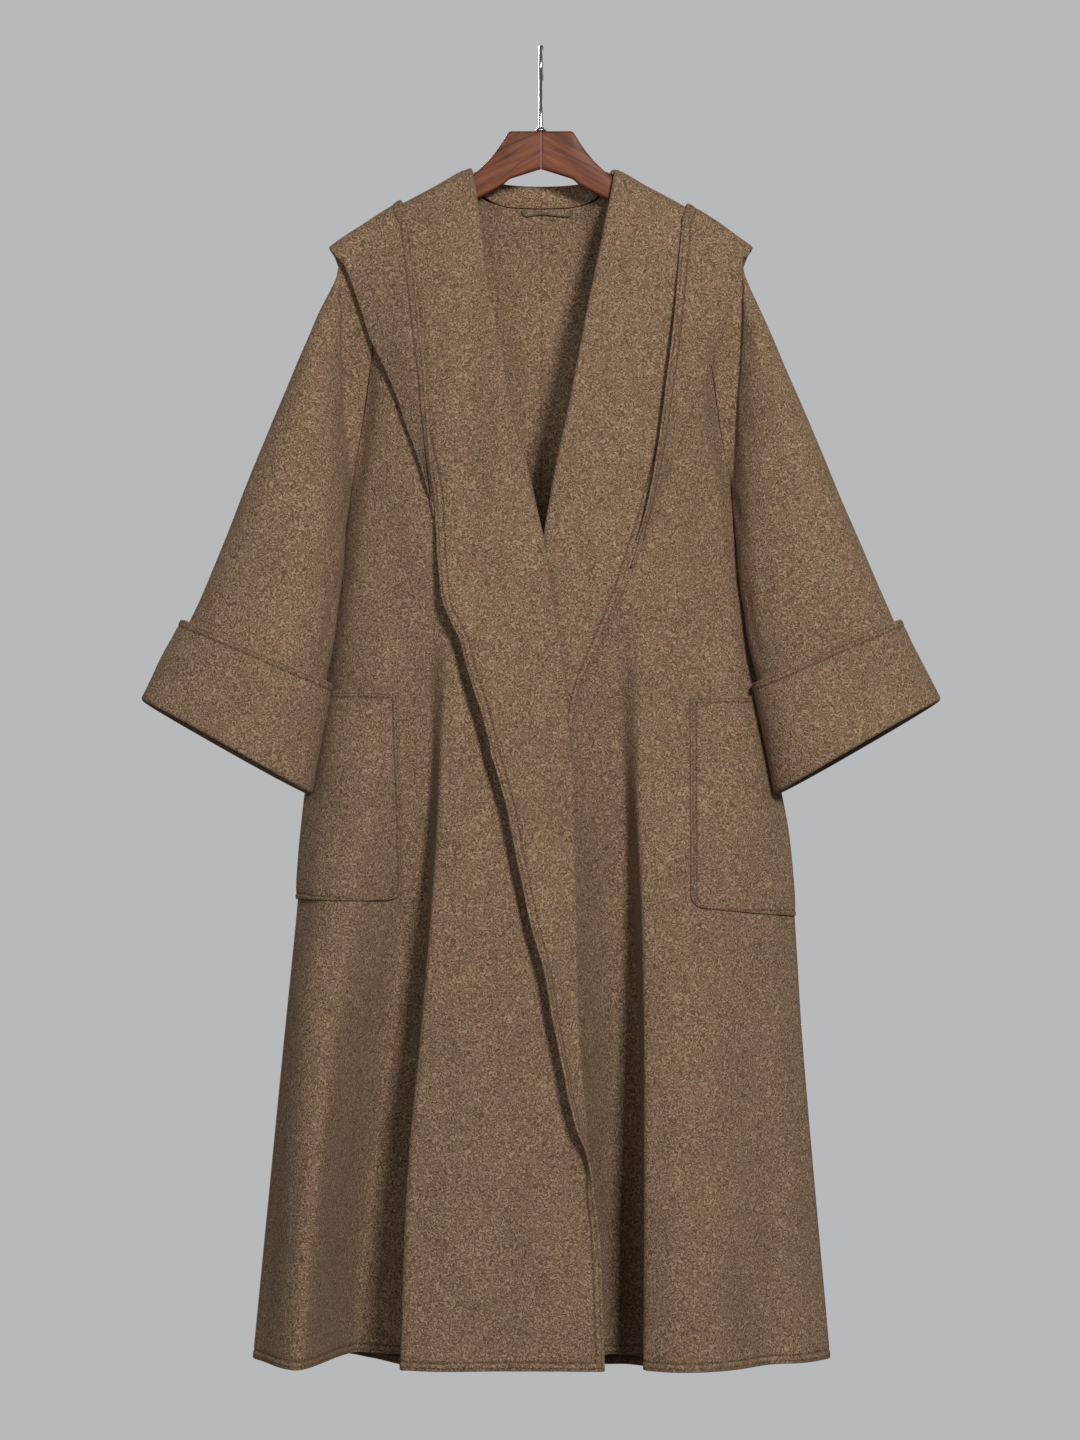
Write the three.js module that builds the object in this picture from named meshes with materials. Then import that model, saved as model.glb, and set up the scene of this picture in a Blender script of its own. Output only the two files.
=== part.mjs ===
// A hooded open-front wool coat on a wooden hanger, in millimetres, +Z up.
// The origin is the inner top of the hook's crook. -Y is the coat's front, and +X is the wearer's left.
// "out" is the distance from the coat's middle plane towards the side that a piece belongs to.
// "along" is the distance down the cloth from the shoulder ridge, positive in front and negative behind.
import * as THREE from 'three';

const CLOTH = 2.2;
const ARMHOLE_GAP = 1.6;
const RIDGE_RADIUS = 8.8;
const RIDGE_QUARTER = RIDGE_RADIUS * Math.PI / 2;
const HEM_Z = -1307;
const BACK_HEM_DROP = 19;
const UNDERARM_Z = -430;
const NECK_OUT = 69;
const STAND_ROLL = 3.2;

const WOOL = { color: 0x8a7a68, roughness: 0.95, metalness: 0 };
const WOOL_TRIM = { color: 0x74665a, roughness: 0.95, metalness: 0 };
const WALNUT = { color: 0x6a3c26, roughness: 0.45, metalness: 0 };
const CHROME = { color: 0xc9ccd0, roughness: 0.18, metalness: 1 };

// Interpolation in a table of rows, the first column rising or falling.
function look(table, column, at) {
  const rows = table;
  const rising = rows[rows.length - 1][0] > rows[0][0];
  const t = rising ? at : -at;
  const key = (i) => (rising ? rows[i][0] : -rows[i][0]);
  if (t <= key(0)) return rows[0][column];
  for (let i = 0; i < rows.length - 1; i += 1) {
    if (t <= key(i + 1)) {
      const span = key(i + 1) - key(i);
      const f = (t - key(i)) / span;
      const before = rows[Math.max(i - 1, 0)];
      const after = rows[Math.min(i + 2, rows.length - 1)];
      const slope = (a, b) => (b[column] - a[column]) / Math.max(Math.abs(b[0] - a[0]), 1e-9);
      const m0 = slope(before, rows[i + 1]) * span;
      const m1 = slope(rows[i], after) * span;
      const a = rows[i][column];
      const b = rows[i + 1][column];
      const f2 = f * f;
      const f3 = f2 * f;
      return (2 * f3 - 3 * f2 + 1) * a + (f3 - 2 * f2 + f) * m0 + (3 * f2 - 2 * f3) * b + (f3 - f2) * m1;
    }
  }
  return rows[rows.length - 1][column];
}

function smooth(low, high, at) {
  const t = Math.min(1, Math.max(0, (at - low) / (high - low)));
  return t * t * (3 - 2 * t);
}

const mix = (a, b, t) => a + (b - a) * t;

// The line of the cloth over the hanger's arm: out, z.
const RIDGE = [[0, -90], [35, -99], [69, -121.6], [100, -138.4], [131, -154.8], [160, -172], [195, -195.3], [215, -210]];

// The half width of the body at each level, where front and back meet: z, right side, left side.
const WIDTH = [
  [-100, 207, 207], [-205, 203, 203], [-286, 195, 196], [-382, 191, 191], [-430, 188, 189], [-510, 199.5, 200],
  [-585, 210, 211], [-640, 217, 219], [-700, 226, 229], [-740, 232, 237], [-770, 235.5, 243], [-800, 238.5, 247],
  [-860, 243, 252], [-1000, 257, 261], [-1307, 287, 288],
];
const widthAt = (side, z) => look(WIDTH, side.depth, z);

// The armhole seam in front: z, out.
const ARMHOLE = [[-190, 193], [-215, 186], [-245, 175], [-286, 166], [-332, 171], [-382, 178.5], [-430, 188]];

// The depth of each front's middle below the ridge: drop, right front, left front.
const FRONT_DEPTH = [
  [0, 0, 0], [20, 3, 3], [50, 11, 11], [100, 24, 24], [160, 37, 37], [240, 49, 48], [310, 57, 53],
  [380, 65, 54], [460, 72, 55], [600, 76, 58], [800, 80, 62], [1220, 86, 68],
];

// The back's middle: z, depth.
const BACK_DEPTH = [[-120, 34], [-156, 38], [-240, 51], [-410, 59], [-800, 70], [-1100, 80], [-1326, 88]];

// Folds of each skirt panel. Each fold is a trough (depth > 0) or a ridge (depth < 0) that runs down the cloth.
// Columns: z, out of its steep side, steep width, floor width, slope width, depth, lean of its floor.
const RIGHT_VALLEY = [
  [-520, 84, 22, 12, 40, 0, 0],
  [-634, 92, 18, 14, 46, 14, -1],
  [-750, 98, 14, 16, 50, 34, -3],
  [-861, 106, 12, 20, 54, 56, -5],
  [-972, 116, 10, 26, 56, 78, -7],
  [-1120, 130, 9, 34, 52, 98, -9],
  [-1307, 137, 9, 46, 50, 112, -11],
];
const LEFT_VALLEY = [
  [-500, -110, 40, 10, 60, 0, 0],
  [-600, -103, 30, 12, 70, 10, 1],
  [-740, -92, 20, 16, 70, 34, 3],
  [-861, -94, 16, 20, 68, 58, 5],
  [-972, -94, 12, 22, 64, 78, 7],
  [-1120, -95, 10, 26, 60, 96, 9],
  [-1307, -97, 9, 32, 58, 106, 12],
];
// Columns: z, middle, half width, height.
const RIGHT_OUTER_CREST = [[-640, 190, 60, 0], [-850, 214, 48, 10], [-1050, 226, 46, 24], [-1307, 236, 46, 38]];
const LEFT_OUTER_CREST = [[-600, 190, 80, 0], [-850, 176, 90, 12], [-1050, 160, 90, 22], [-1307, 156, 88, 32]];
const BACK_TROUGH = [[-480, 100, 40, 0], [-750, 108, 42, 12], [-1000, 116, 44, 24], [-1326, 126, 44, 34]];
const BACK_SIDE_CREST = [[-520, 168, 50, 0], [-850, 190, 56, -10], [-1100, 206, 58, -26], [-1326, 216, 60, -44]];

// Roll line of each front. Columns: z, roll out, turn in half circles, lift of the turned edge.
const RIGHT_ROLL = [
  [-119, 71, 1, 0],
  [-150, 67, 1, 0],
  [-187, 63, 1, 0],
  [-212, 59, 1, 0],
  [-250, 54, 1, 0],
  [-306, 42, 1, 0],
  [-368, 32, 1, 0],
  [-410, 20, 1, 0],
  [-430, 15, 1, 0],
  [-460, 8.5, 1, 0],
  [-489, 2, 1, 3],
  [-550, -8, 1, 8],
  [-620, -18, 1, 9],
  [-680, -24, 1, 9],
  [-750, -29, 1, 8],
  [-870, -31, 1, 6],
  [-950, -33, 1, 4],
  [-1010, -36, 0.95, 2],
  [-1060, -42, 0.55, 0],
  [-1080, -34.5, 0.25, 0],
  [-1100, -31, 0, 0],
  [-1200, -43, 0, 0],
  [-1307, -46, 0, 0],
];
const LEFT_ROLL = [
  [-119, 76, 1, 0],
  [-150, 72, 1, 0],
  [-187, 65, 1, 0],
  [-212, 60, 1, 0],
  [-255, 51, 1, 0],
  [-307, 41, 1, 0],
  [-370, 29, 1, 0],
  [-420, 18, 1, 0],
  [-460, 11, 1, 0],
  [-489, 6, 1, 0],
  [-510, 2, 1, 2],
  [-550, -4, 1, 4],
  [-600, -10, 1, 3],
  [-650, -16, 1, 0],
  [-750, -24, 1, 0],
  [-870, -26, 1, 0],
  [-950, -28, 1, 0],
  [-1010, -32, 0.95, 0],
  [-1060, -38, 0.55, 0],
  [-1100, -30, 0, 0],
  [-1200, -34, 0, 0],
  [-1307, -38, 0, 0],
];

// The edge of each lapel. It lies under the hood above z -455 on the right and -505 on the left. Columns: z, out.
const RIGHT_EDGE = [
  [-189, 188], [-203, 184], [-216, 178.5], [-238, 170], [-262, 161], [-290, 150], [-320, 137], [-350, 126],
  [-380, 118], [-408, 110.5], [-432, 105.6], [-452, 102.4], [-470, 101.5], [-489, 99.5], [-510, 98], [-550, 90],
  [-590, 76], [-620, 68], [-680, 48], [-750, 31], [-870, 3], [-950, -14], [-1010, -25], [-1060, -31],
  [-1080, -22.5], [-1100, -18], [-1200, -29], [-1307, -32],
];
const LEFT_EDGE = [
  [-189, 188], [-203, 185], [-214, 183], [-236, 177], [-262, 169], [-292, 158], [-326, 145], [-362, 133],
  [-400, 121], [-438, 110], [-472, 101], [-500, 92], [-510, 89], [-561, 71], [-593, 55], [-630, 38.6],
  [-650, 32.5], [-750, 12], [-870, -8], [-950, -16], [-1010, -21], [-1060, -28], [-1100, -18], [-1200, -20],
  [-1307, -24],
];

const SIDES = {
  right: { sign: -1, depth: 1, roll: RIGHT_ROLL, edge: RIGHT_EDGE, valley: RIGHT_VALLEY, crest: RIGHT_OUTER_CREST },
  left: { sign: 1, depth: 2, roll: LEFT_ROLL, edge: LEFT_EDGE, valley: LEFT_VALLEY, crest: LEFT_OUTER_CREST },
};

const ridgeZ = (out) => look(RIDGE, 1, Math.abs(out));

function troughAt(table, out, z) {
  const steep = look(table, 1, z);
  const steepWidth = look(table, 2, z);
  const floor = look(table, 3, z);
  const slope = look(table, 4, z);
  const past = out - steep;
  const wall = smooth(0, steepWidth, past);
  const back = 1 - smooth(steepWidth + floor, steepWidth + floor + slope, past);
  return wall * back;
}

function swell(table, out, z) {
  const t = Math.abs(out - look(table, 1, z)) / look(table, 2, z);
  return t >= 1 ? 0 : look(table, 3, z) * (1 - t * t) ** 2;
}

const section = (share) => (1 - Math.min(1, share) ** 2.4) ** 0.62;

// The middle of the body's cloth, before any layer is moved out from it.
function bodyMiddle(side, out, along) {
  const front = along >= 0;
  const length = Math.abs(along);
  const angle = Math.min(length, RIDGE_QUARTER) / RIDGE_RADIUS;
  const down = Math.max(0, length - RIDGE_QUARTER);
  const drop = RIDGE_RADIUS * (1 - Math.cos(angle)) + down;
  const z = ridgeZ(out) - drop;
  const share = Math.abs(out) / widthAt(side, z);
  let depth = RIDGE_RADIUS * Math.sin(angle) * mix(1, smooth(1.001, 0.9, share), smooth(40, 200, drop));
  let x = out;
  if (front) {
    depth += look(FRONT_DEPTH, side.depth, drop) * section(share);
    const dip = troughAt(side.valley, side.sign < 0 ? out : -out, z);
    depth += swell(side.crest, out, z) * (1 - dip);
    depth -= look(side.valley, 5, z) * dip;
    x += look(side.valley, 6, z) * dip;
  } else {
    const shown = smooth(0, 105, drop + (out < NECK_OUT ? (NECK_OUT - out) * 0.9 : 0));
    depth += (look(BACK_DEPTH, 1, z) - RIDGE_RADIUS) * section(share) * shown;
    depth -= swell(BACK_TROUGH, out, z);
    depth -= swell(BACK_SIDE_CREST, out, z);
  }
  return new THREE.Vector3(side.sign * x, front ? -depth : depth, z);
}

function bodyNormal(side, out, along) {
  const step = 0.6;
  const across = bodyMiddle(side, out + step, along).sub(bodyMiddle(side, out - step, along));
  const down = bodyMiddle(side, out, along + step).sub(bodyMiddle(side, out, along - step));
  const normal = across.cross(down).normalize();
  return side.sign > 0 ? normal.negate() : normal;
}

// A point on a layer that lies a set distance outside the middle of the body's cloth.
function layer(side, out, along, off) {
  return bodyMiddle(side, out, along).addScaledVector(bodyNormal(side, out, along), off);
}

function alongAt(out, z) {
  const drop = ridgeZ(out) - z;
  if (drop >= RIDGE_RADIUS) return drop - RIDGE_RADIUS + RIDGE_QUARTER;
  return RIDGE_RADIUS * Math.acos(1 - Math.max(0, drop) / RIDGE_RADIUS);
}

// The direction of a line of points at the middle one of three, by their real distances.
function centralSlope(a, b, c) {
  const ab = Math.max(b.distanceTo(a), 1e-6);
  const bc = Math.max(c.distanceTo(b), 1e-6);
  const slope = b.clone().sub(a).multiplyScalar(bc / ab);
  return slope.add(c.clone().sub(b).multiplyScalar(ab / bc)).normalize();
}

// The direction at the first of three points.
function endSlope(a, b, c) {
  const near = Math.max(b.distanceTo(a), 1e-6);
  const far = near + Math.max(c.distanceTo(b), 1e-6);
  const slope = b.clone().sub(a).multiplyScalar(far / near / (far - near));
  return slope.sub(c.clone().sub(a).multiplyScalar(near / far / (far - near))).normalize();
}

function slopeIn(line, k, closed) {
  const n = line.length;
  if (closed) return centralSlope(line[(k + n - 1) % n], line[k], line[(k + 1) % n]);
  if (k === 0) return endSlope(line[0], line[1], line[2]);
  if (k === n - 1) return endSlope(line[n - 1], line[n - 2], line[n - 3]).negate();
  return centralSlope(line[k - 1], line[k], line[k + 1]);
}

// A closed wall of cloth about a grid of points on its middle. Rows and columns are open, or the columns close.
function clothWall(grid, closed = false, pinned = () => null, thickness = CLOTH) {
  const rows = grid.length;
  const columns = grid[0].length;
  const outer = [];
  const inner = [];
  const upright = grid[0].map((_, j) => grid.map((line) => line[j]));
  for (let i = 0; i < rows; i += 1) {
    for (let j = 0; j < columns; j += 1) {
      const across = slopeIn(grid[i], j, closed);
      const normal = across.cross(slopeIn(upright[j], i, false)).normalize();
      const known = pinned(i, j);
      if (known) normal.copy(known).multiplyScalar(Math.sign(known.dot(normal)) || 1);
      outer.push(grid[i][j].clone().addScaledVector(normal, thickness / 2));
      inner.push(grid[i][j].clone().addScaledVector(normal, -thickness / 2));
    }
  }
  const points = outer.concat(inner);
  const back = rows * columns;
  const index = [];
  const quad = (a, b, c, d) => index.push(a, b, c, a, c, d);
  const lastColumn = closed ? columns : columns - 1;
  for (let i = 0; i < rows - 1; i += 1) {
    for (let j = 0; j < lastColumn; j += 1) {
      const k = (j + 1) % columns;
      const a = i * columns + j;
      const b = i * columns + k;
      const c = (i + 1) * columns + k;
      const d = (i + 1) * columns + j;
      quad(a, b, c, d);
      quad(back + d, back + c, back + b, back + a);
    }
  }
  for (let j = 0; j < lastColumn; j += 1) {
    const k = (j + 1) % columns;
    const low = (rows - 1) * columns;
    quad(k, j, back + j, back + k);
    quad(low + j, low + k, back + low + k, back + low + j);
  }
  if (!closed) {
    for (let i = 0; i < rows - 1; i += 1) {
      const a = i * columns;
      const b = (i + 1) * columns;
      const e = a + columns - 1;
      const f = b + columns - 1;
      quad(a, b, back + b, back + a);
      quad(f, e, back + e, back + f);
    }
  }
  return solidOf(points, index);
}

function solidOf(points, index) {
  const position = new Float32Array(points.length * 3);
  points.forEach((p, i) => position.set([p.x, p.y, p.z], i * 3));
  let volume = 0;
  for (let i = 0; i < index.length; i += 3) {
    const [a, b, c] = [points[index[i]], points[index[i + 1]], points[index[i + 2]]];
    volume += a.dot(b.clone().cross(c));
  }
  if (volume < 0) {
    for (let i = 0; i < index.length; i += 3) [index[i + 1], index[i + 2]] = [index[i + 2], index[i + 1]];
  }
  const geometry = new THREE.BufferGeometry();
  geometry.setAttribute('position', new THREE.BufferAttribute(position, 3));
  geometry.setIndex(index);
  geometry.computeVertexNormals();
  return geometry;
}

const group = new THREE.Group();
function add(name, geometry, look_) {
  const mesh = new THREE.Mesh(geometry, new THREE.MeshStandardMaterial(look_));
  mesh.name = name;
  group.add(mesh);
  return mesh;
}

// Levels of the body's rows: shares of the way from ridge to underarm, then heights.
const RIDGE_ROWS = [0.3, 4.7, 9.3, 14];
const ARM_SHARES = [0.06, 0.14, 0.24, 0.35, 0.47, 0.6, 0.73, 0.87, 1];
const SKIRT_LEVELS = [-480, -530, -586, -643, -710, -780, -850, -930, -1010, -1060, -1100, -1200, HEM_Z];

function frontRows(out) {
  const whole = alongAt(out, UNDERARM_Z);
  const rows = RIDGE_ROWS.concat(ARM_SHARES.map((f) => mix(14, whole, f)));
  return rows.concat(SKIRT_LEVELS.map((z) => alongAt(out, z)));
}

// The height of each row at the roll line is found by stepping along it.
function rowAt(out, row) {
  return frontRows(out)[row];
}
const ROW_COUNT = frontRows(100).length;

const heightOf = (side, out, along) => bodyMiddle(side, out, along).z;

// Where a line in a table, such as the roll line or the turned edge, crosses a row.
function lineOnRow(side, row, table) {
  let out = NECK_OUT;
  for (let k = 0; k < 16; k += 1) out = mix(out, look(table, 1, heightOf(side, out, rowAt(out, row))), 0.8);
  return out;
}

function sideOfRow(side, row) {
  if (row >= RIDGE_ROWS.length + ARM_SHARES.length) {
    const z = SKIRT_LEVELS[row - RIDGE_ROWS.length - ARM_SHARES.length];
    return widthAt(side, z) - 0.03;
  }
  let out = 190;
  for (let k = 0; k < 12; k += 1) out = look(ARMHOLE, 1, heightOf(side, out, rowAt(out, row)));
  return Math.min(out, widthAt(side, heightOf(side, out, rowAt(out, row))) - 0.03);
}

const COLUMNS = { nearEdge: 4, nearValley: 2, outer: 8 };

// The columns of a front's body, from its side to its roll line, close together where the cloth turns.
function frontColumns(side, row) {
  const roll = lineOnRow(side, row, side.roll);
  const edge = sideOfRow(side, row);
  const z = heightOf(side, 100, rowAt(100, row));
  const steepTop = side.sign < 0 ? look(side.valley, 1, z) : -look(side.valley, 1, z);
  const steepFoot = steepTop + (side.sign < 0 ? 1 : -1) * look(side.valley, 2, z);
  const near = Math.min(steepTop, steepFoot);
  const far = Math.max(steepTop, steepFoot);
  const columns = [];
  for (let k = 0; k < COLUMNS.nearEdge; k += 1) columns.push(mix(roll, near, k / COLUMNS.nearEdge));
  for (let k = 0; k < COLUMNS.nearValley; k += 1) columns.push(mix(near, far, k / COLUMNS.nearValley));
  for (let k = 0; k <= COLUMNS.outer; k += 1) {
    columns.push(mix(far, edge, Math.sin((k / COLUMNS.outer) * Math.PI / 2) ** 0.9));
  }
  return columns;
}

function lapelLayer(along) {
  return mix(3.4, 6.4, smooth(0, 60, along));
}

const TURN_STEPS = 4;
const LAPEL_STEPS = 5;

function frontGrid(side) {
  const grid = [];
  for (let row = 0; row < ROW_COUNT; row += 1) {
    const columns = frontColumns(side, row);
    const line = [];
    for (let k = columns.length - 1; k > 0; k -= 1) line.push(layer(side, columns[k], rowAt(columns[k], row), 0));
    const roll = columns[0];
    const along = rowAt(roll, row);
    const z = heightOf(side, roll, along);
    const turn = look(side.roll, 2, z) * Math.PI;
    const off = lapelLayer(along);
    const radius = off / 2;
    const width = Math.abs(lineOnRow(side, row, side.edge) - roll);
    for (let k = 0; k <= TURN_STEPS; k += 1) {
      const phi = turn * k / TURN_STEPS;
      const flat = turn < 0.02 ? k * 0.9 : 0;
      const out = roll - radius * Math.sin(phi) - flat;
      line.push(layer(side, out, rowAt(out, row), radius * (1 - Math.cos(phi))));
    }
    const start = roll - radius * Math.sin(turn) - (turn < 0.02 ? TURN_STEPS * 0.9 : 0);
    const lift = look(side.roll, 3, z);
    for (let k = 1; k <= LAPEL_STEPS; k += 1) {
      const run = width * k / LAPEL_STEPS;
      const out = start - run * Math.cos(turn);
      const rise = radius * (1 - Math.cos(turn)) + run * Math.sin(turn) + lift * (k / LAPEL_STEPS) ** 2;
      line.push(layer(side, out, rowAt(out, row), rise));
    }
    grid.push(line);
  }
  return grid;
}

const UNDERARM_ROW = RIDGE_ROWS.length + ARM_SHARES.length - 1;
const SIDEWAYS = new THREE.Vector3(1, 0, 0);

// Puts a line's first point on the side seam below the armhole, just in front of or behind the seam.
function pinSide(side, line, row, front) {
  if (row <= UNDERARM_ROW) return;
  line[0] = new THREE.Vector3(side.sign * widthAt(side, line[0].z), front ? -0.45 : 0.45, line[0].z);
}
const sideSeam = (row, column) => (column === 0 && row > UNDERARM_ROW ? SIDEWAYS : null);

for (const [name, side] of Object.entries(SIDES)) {
  const grid = frontGrid(side);
  grid.forEach((line, row) => pinSide(side, line, row, true));
  add(`front_${name}`, clothWall(grid, false, sideSeam), WOOL);
}

// The back, in two halves that meet at the centre seam. Neckline seam: out, z.
const NECKLINE = [[0, -155.5], [20, -155], [34, -154], [50, -150.5], [60, -146], [66, -136], [68, -126.5]];
const BACK_NECK_OUTS = [0.2, 17, 34, 49, 60, 66, 68];
const BACK_SHARES = [0, 0.13, 0.28, 0.44, 0.6, 0.75, 0.87, 0.95, 1];
const NECK_POINT = 70;

function backTop(out) {
  return out >= NECK_POINT - 1 ? RIDGE_ROWS[0] : alongAt(out, look(NECKLINE, 1, out));
}

function backHem(out) {
  return HEM_Z - BACK_HEM_DROP * (1 - (out / 283) ** 2);
}

function backRow(out, row) {
  const first = backTop(out);
  const whole = alongAt(out, UNDERARM_Z);
  if (row < RIDGE_ROWS.length) return first + RIDGE_ROWS[row] - RIDGE_ROWS[0];
  const arm = row - RIDGE_ROWS.length;
  if (arm < ARM_SHARES.length) return mix(first + 14, whole, ARM_SHARES[arm]);
  const z = SKIRT_LEVELS[arm - ARM_SHARES.length];
  return alongAt(out, z === HEM_Z ? backHem(out) : z);
}

function backGrid(side) {
  const grid = [];
  for (let row = 0; row < ROW_COUNT; row += 1) {
    const edge = sideOfRow(side, row);
    const outs = BACK_NECK_OUTS.concat(BACK_SHARES.map((f) => mix(NECK_POINT, edge, f)));
    const line = outs.map((out) => layer(side, out, -backRow(out, row), 0));
    grid.push(line.reverse());
  }
  return grid;
}

for (const [name, side] of Object.entries(SIDES)) {
  const grid = backGrid(side);
  grid.forEach((line, row) => pinSide(side, line, row, false));
  add(`back_${name}`, clothWall(grid, false, sideSeam), WOOL);
}

// Sleeves: rings from the armhole to the wrist.
// Columns: outer out, outer z, inner out, inner z, half depth, how far forward its middle hangs.
const SLEEVE_RINGS = [
  [0, 0, 0, 0, 0, 0],
  [201, -217, 196, -442, 11, 1],
  [205.5, -234, 197, -458, 18, 4],
  [221, -268, 199.5, -484, 28, 10],
  [246, -328, 202.5, -525, 38, 17],
  [278, -404, 208.5, -556, 43, 23],
  [311, -484, 215, -598, 45, 28],
  [350, -575, 225, -634, 46, 31],
  [370, -612, 234, -684, 46, 32],
  [390, -650, 241, -739, 46, 33],
];
const LEFT_CUFF_SHIFT = 4;
const RING_POINTS = 16;
const RING_TILT = 4.5;

function armholePoint(side, angle) {
  const f = (1 - Math.cos(angle)) / 2;
  const front = Math.sin(angle) >= 0;
  const z = mix(-193, UNDERARM_Z - 5, f);
  const gap = ARMHOLE_GAP + 1.8 * smooth(0.6, 0.95, f);
  const out = Math.min(look(ARMHOLE, 1, z), widthAt(side, z) - 0.1);
  const along = alongAt(out, Math.min(z, ridgeZ(out) - 0.4));
  const p = bodyMiddle(side, out, (front ? 1 : -1) * along);
  p.x += side.sign * gap;
  if (f > 0.98) p.set(side.sign * (188 + gap), 0, UNDERARM_Z - 6);
  if (f < 0.02) p.set(side.sign * (195 + ARMHOLE_GAP), 0, ridgeZ(194) - 3.6);
  return p;
}

function ringPoint(side, ring, angle) {
  if (ring === 0) return armholePoint(side, angle);
  const [outerOut, outerZ, innerOut, innerZ, half, forward] = SLEEVE_RINGS[ring];
  const c = Math.cos(angle);
  const s = Math.sin(angle);
  const along = Math.sign(c) * Math.abs(c) ** 0.86;
  const deep = Math.sign(s) * Math.abs(s) ** 0.86;
  const shift = side.sign > 0 ? LEFT_CUFF_SHIFT * smooth(5, 8, ring) * (1 - along) / 2 : 0;
  const out = (outerOut + innerOut) / 2 + (outerOut - innerOut) / 2 * along + shift;
  const z = (outerZ + innerZ) / 2 + (outerZ - innerZ) / 2 * along + RING_TILT * deep * smooth(4, 9, ring);
  return new THREE.Vector3(side.sign * out, -half * deep - forward, z);
}

function sleeveMiddle(side, ring, angle) {
  const i = Math.max(0, Math.min(Math.floor(ring), SLEEVE_RINGS.length - 2));
  const t = Math.max(0, ring - i);
  const p0 = ringPoint(side, Math.max(i - 1, 0), angle);
  const p1 = ringPoint(side, i, angle);
  const p2 = ringPoint(side, i + 1, angle);
  const p3 = ringPoint(side, Math.min(i + 2, SLEEVE_RINGS.length - 1), angle);
  const m1 = i === 0 ? p2.clone().sub(p1) : p2.clone().sub(p0).multiplyScalar(0.5);
  const m2 = p3.clone().sub(p1).multiplyScalar(0.5);
  const t2 = t * t;
  const t3 = t2 * t;
  return p1.clone().multiplyScalar(2 * t3 - 3 * t2 + 1)
    .addScaledVector(m1, t3 - 2 * t2 + t)
    .addScaledVector(p2, 3 * t2 - 2 * t3)
    .addScaledVector(m2, t3 - t2);
}

function sleeveLayer(side, ring, angle, off) {
  const p = sleeveMiddle(side, ring, angle);
  const a = sleeveMiddle(side, ring, angle + 0.02).sub(sleeveMiddle(side, ring, angle - 0.02));
  const b = sleeveMiddle(side, Math.min(ring + 0.02, 9), angle).sub(sleeveMiddle(side, ring - 0.02, angle));
  const normal = a.cross(b).normalize();
  if (side.sign < 0) normal.negate();
  return p.addScaledVector(normal, off);
}

const WRIST = 9;
const CUFF_TOP = 7;
const CUFF_SEAM = 8.7;
const CUFF_TURN = 2.7;
const SLEEVE_STOPS = [0, 0.5, 1, 1.6, 2.3, 3, 3.8, 4.6, 5.4, 6.2, 7, 7.8, CUFF_SEAM - 0.012];
const CUFF_STOPS = [CUFF_SEAM, 8.84, WRIST];
const CUFF_RETURN = [8.7, 8.2, 7.6, CUFF_TOP];

function ringLine(make) {
  return Array.from({ length: RING_POINTS }, (_, j) => make(2 * Math.PI * (j + 0.5) / RING_POINTS));
}

for (const [name, side] of Object.entries(SIDES)) {
  const sleeve = SLEEVE_STOPS.map((stop) => ringLine((angle) => sleeveLayer(side, Math.max(stop, 0.001), angle, 0)));
  sleeve[0] = ringLine((angle) => ringPoint(side, 0, angle));
  add(`sleeve_${name}`, clothWall(sleeve, true), WOOL);
  const end = (angle) => sleeveLayer(side, WRIST, angle, 0).sub(sleeveLayer(side, WRIST - 0.2, angle, 0)).normalize();
  const turned = [60, 120].map((degrees) => ringLine((angle) => {
    const phi = degrees * Math.PI / 180;
    const p = sleeveLayer(side, WRIST, angle, CUFF_TURN * (1 - Math.cos(phi)));
    return p.addScaledVector(end(angle), CUFF_TURN * Math.sin(phi));
  }));
  const cuff = CUFF_STOPS.map((stop) => ringLine((angle) => sleeveLayer(side, stop, angle, 0)))
    .concat(turned)
    .concat([ringLine((angle) => sleeveLayer(side, WRIST, angle, 2 * CUFF_TURN))])
    .concat(CUFF_RETURN.map((stop) => ringLine((angle) => sleeveLayer(side, stop, angle, 2 * CUFF_TURN))));
  add(`cuff_${name}`, clothWall(cuff, true), WOOL);
}

// Patch pockets, made from the front's own surface moved out. The outer edge runs to the side seam.
const POCKETS = {
  right: { top: -643, bottom: -848, inner: 143, fall: 0, off: 4 },
  left: { top: -648, bottom: -856, inner: 148, fall: 9, off: 3.4 },
};
const POCKET_CORNER = 15;
const POCKET_PUFF = 2.5;
const POCKET_SHARES = [0, 0.12, 0.24, 0.37, 0.5, 0.64, 0.78, 0.89, 0.95, 0.98, 0.995];
const POCKET_ROWS = [0, 0.1, 0.25, 0.4, 0.55, 0.7, 0.85, 0.94, 0.98, 1];

for (const [name, side] of Object.entries(SIDES)) {
  const pocket = POCKETS[name];
  const grid = POCKET_ROWS.map((f) => POCKET_SHARES.map((g) => {
    const level = mix(pocket.top, pocket.bottom, f);
    const lift = Math.max(0, POCKET_CORNER - (level - pocket.bottom));
    const corner = POCKET_CORNER - Math.sqrt(Math.max(0, POCKET_CORNER ** 2 - lift ** 2));
    const out = mix(pocket.inner + corner, widthAt(side, level) - 0.2, g);
    const z = level - pocket.fall * f * g;
    const puff = POCKET_PUFF * Math.sin(Math.PI * Math.min(1, g * 1.1)) * (1 - f * f);
    return layer(side, out, alongAt(out, z), pocket.off + Math.max(0, puff));
  }));
  add(`pocket_${name}`, clothWall(grid), WOOL);
}

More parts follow.
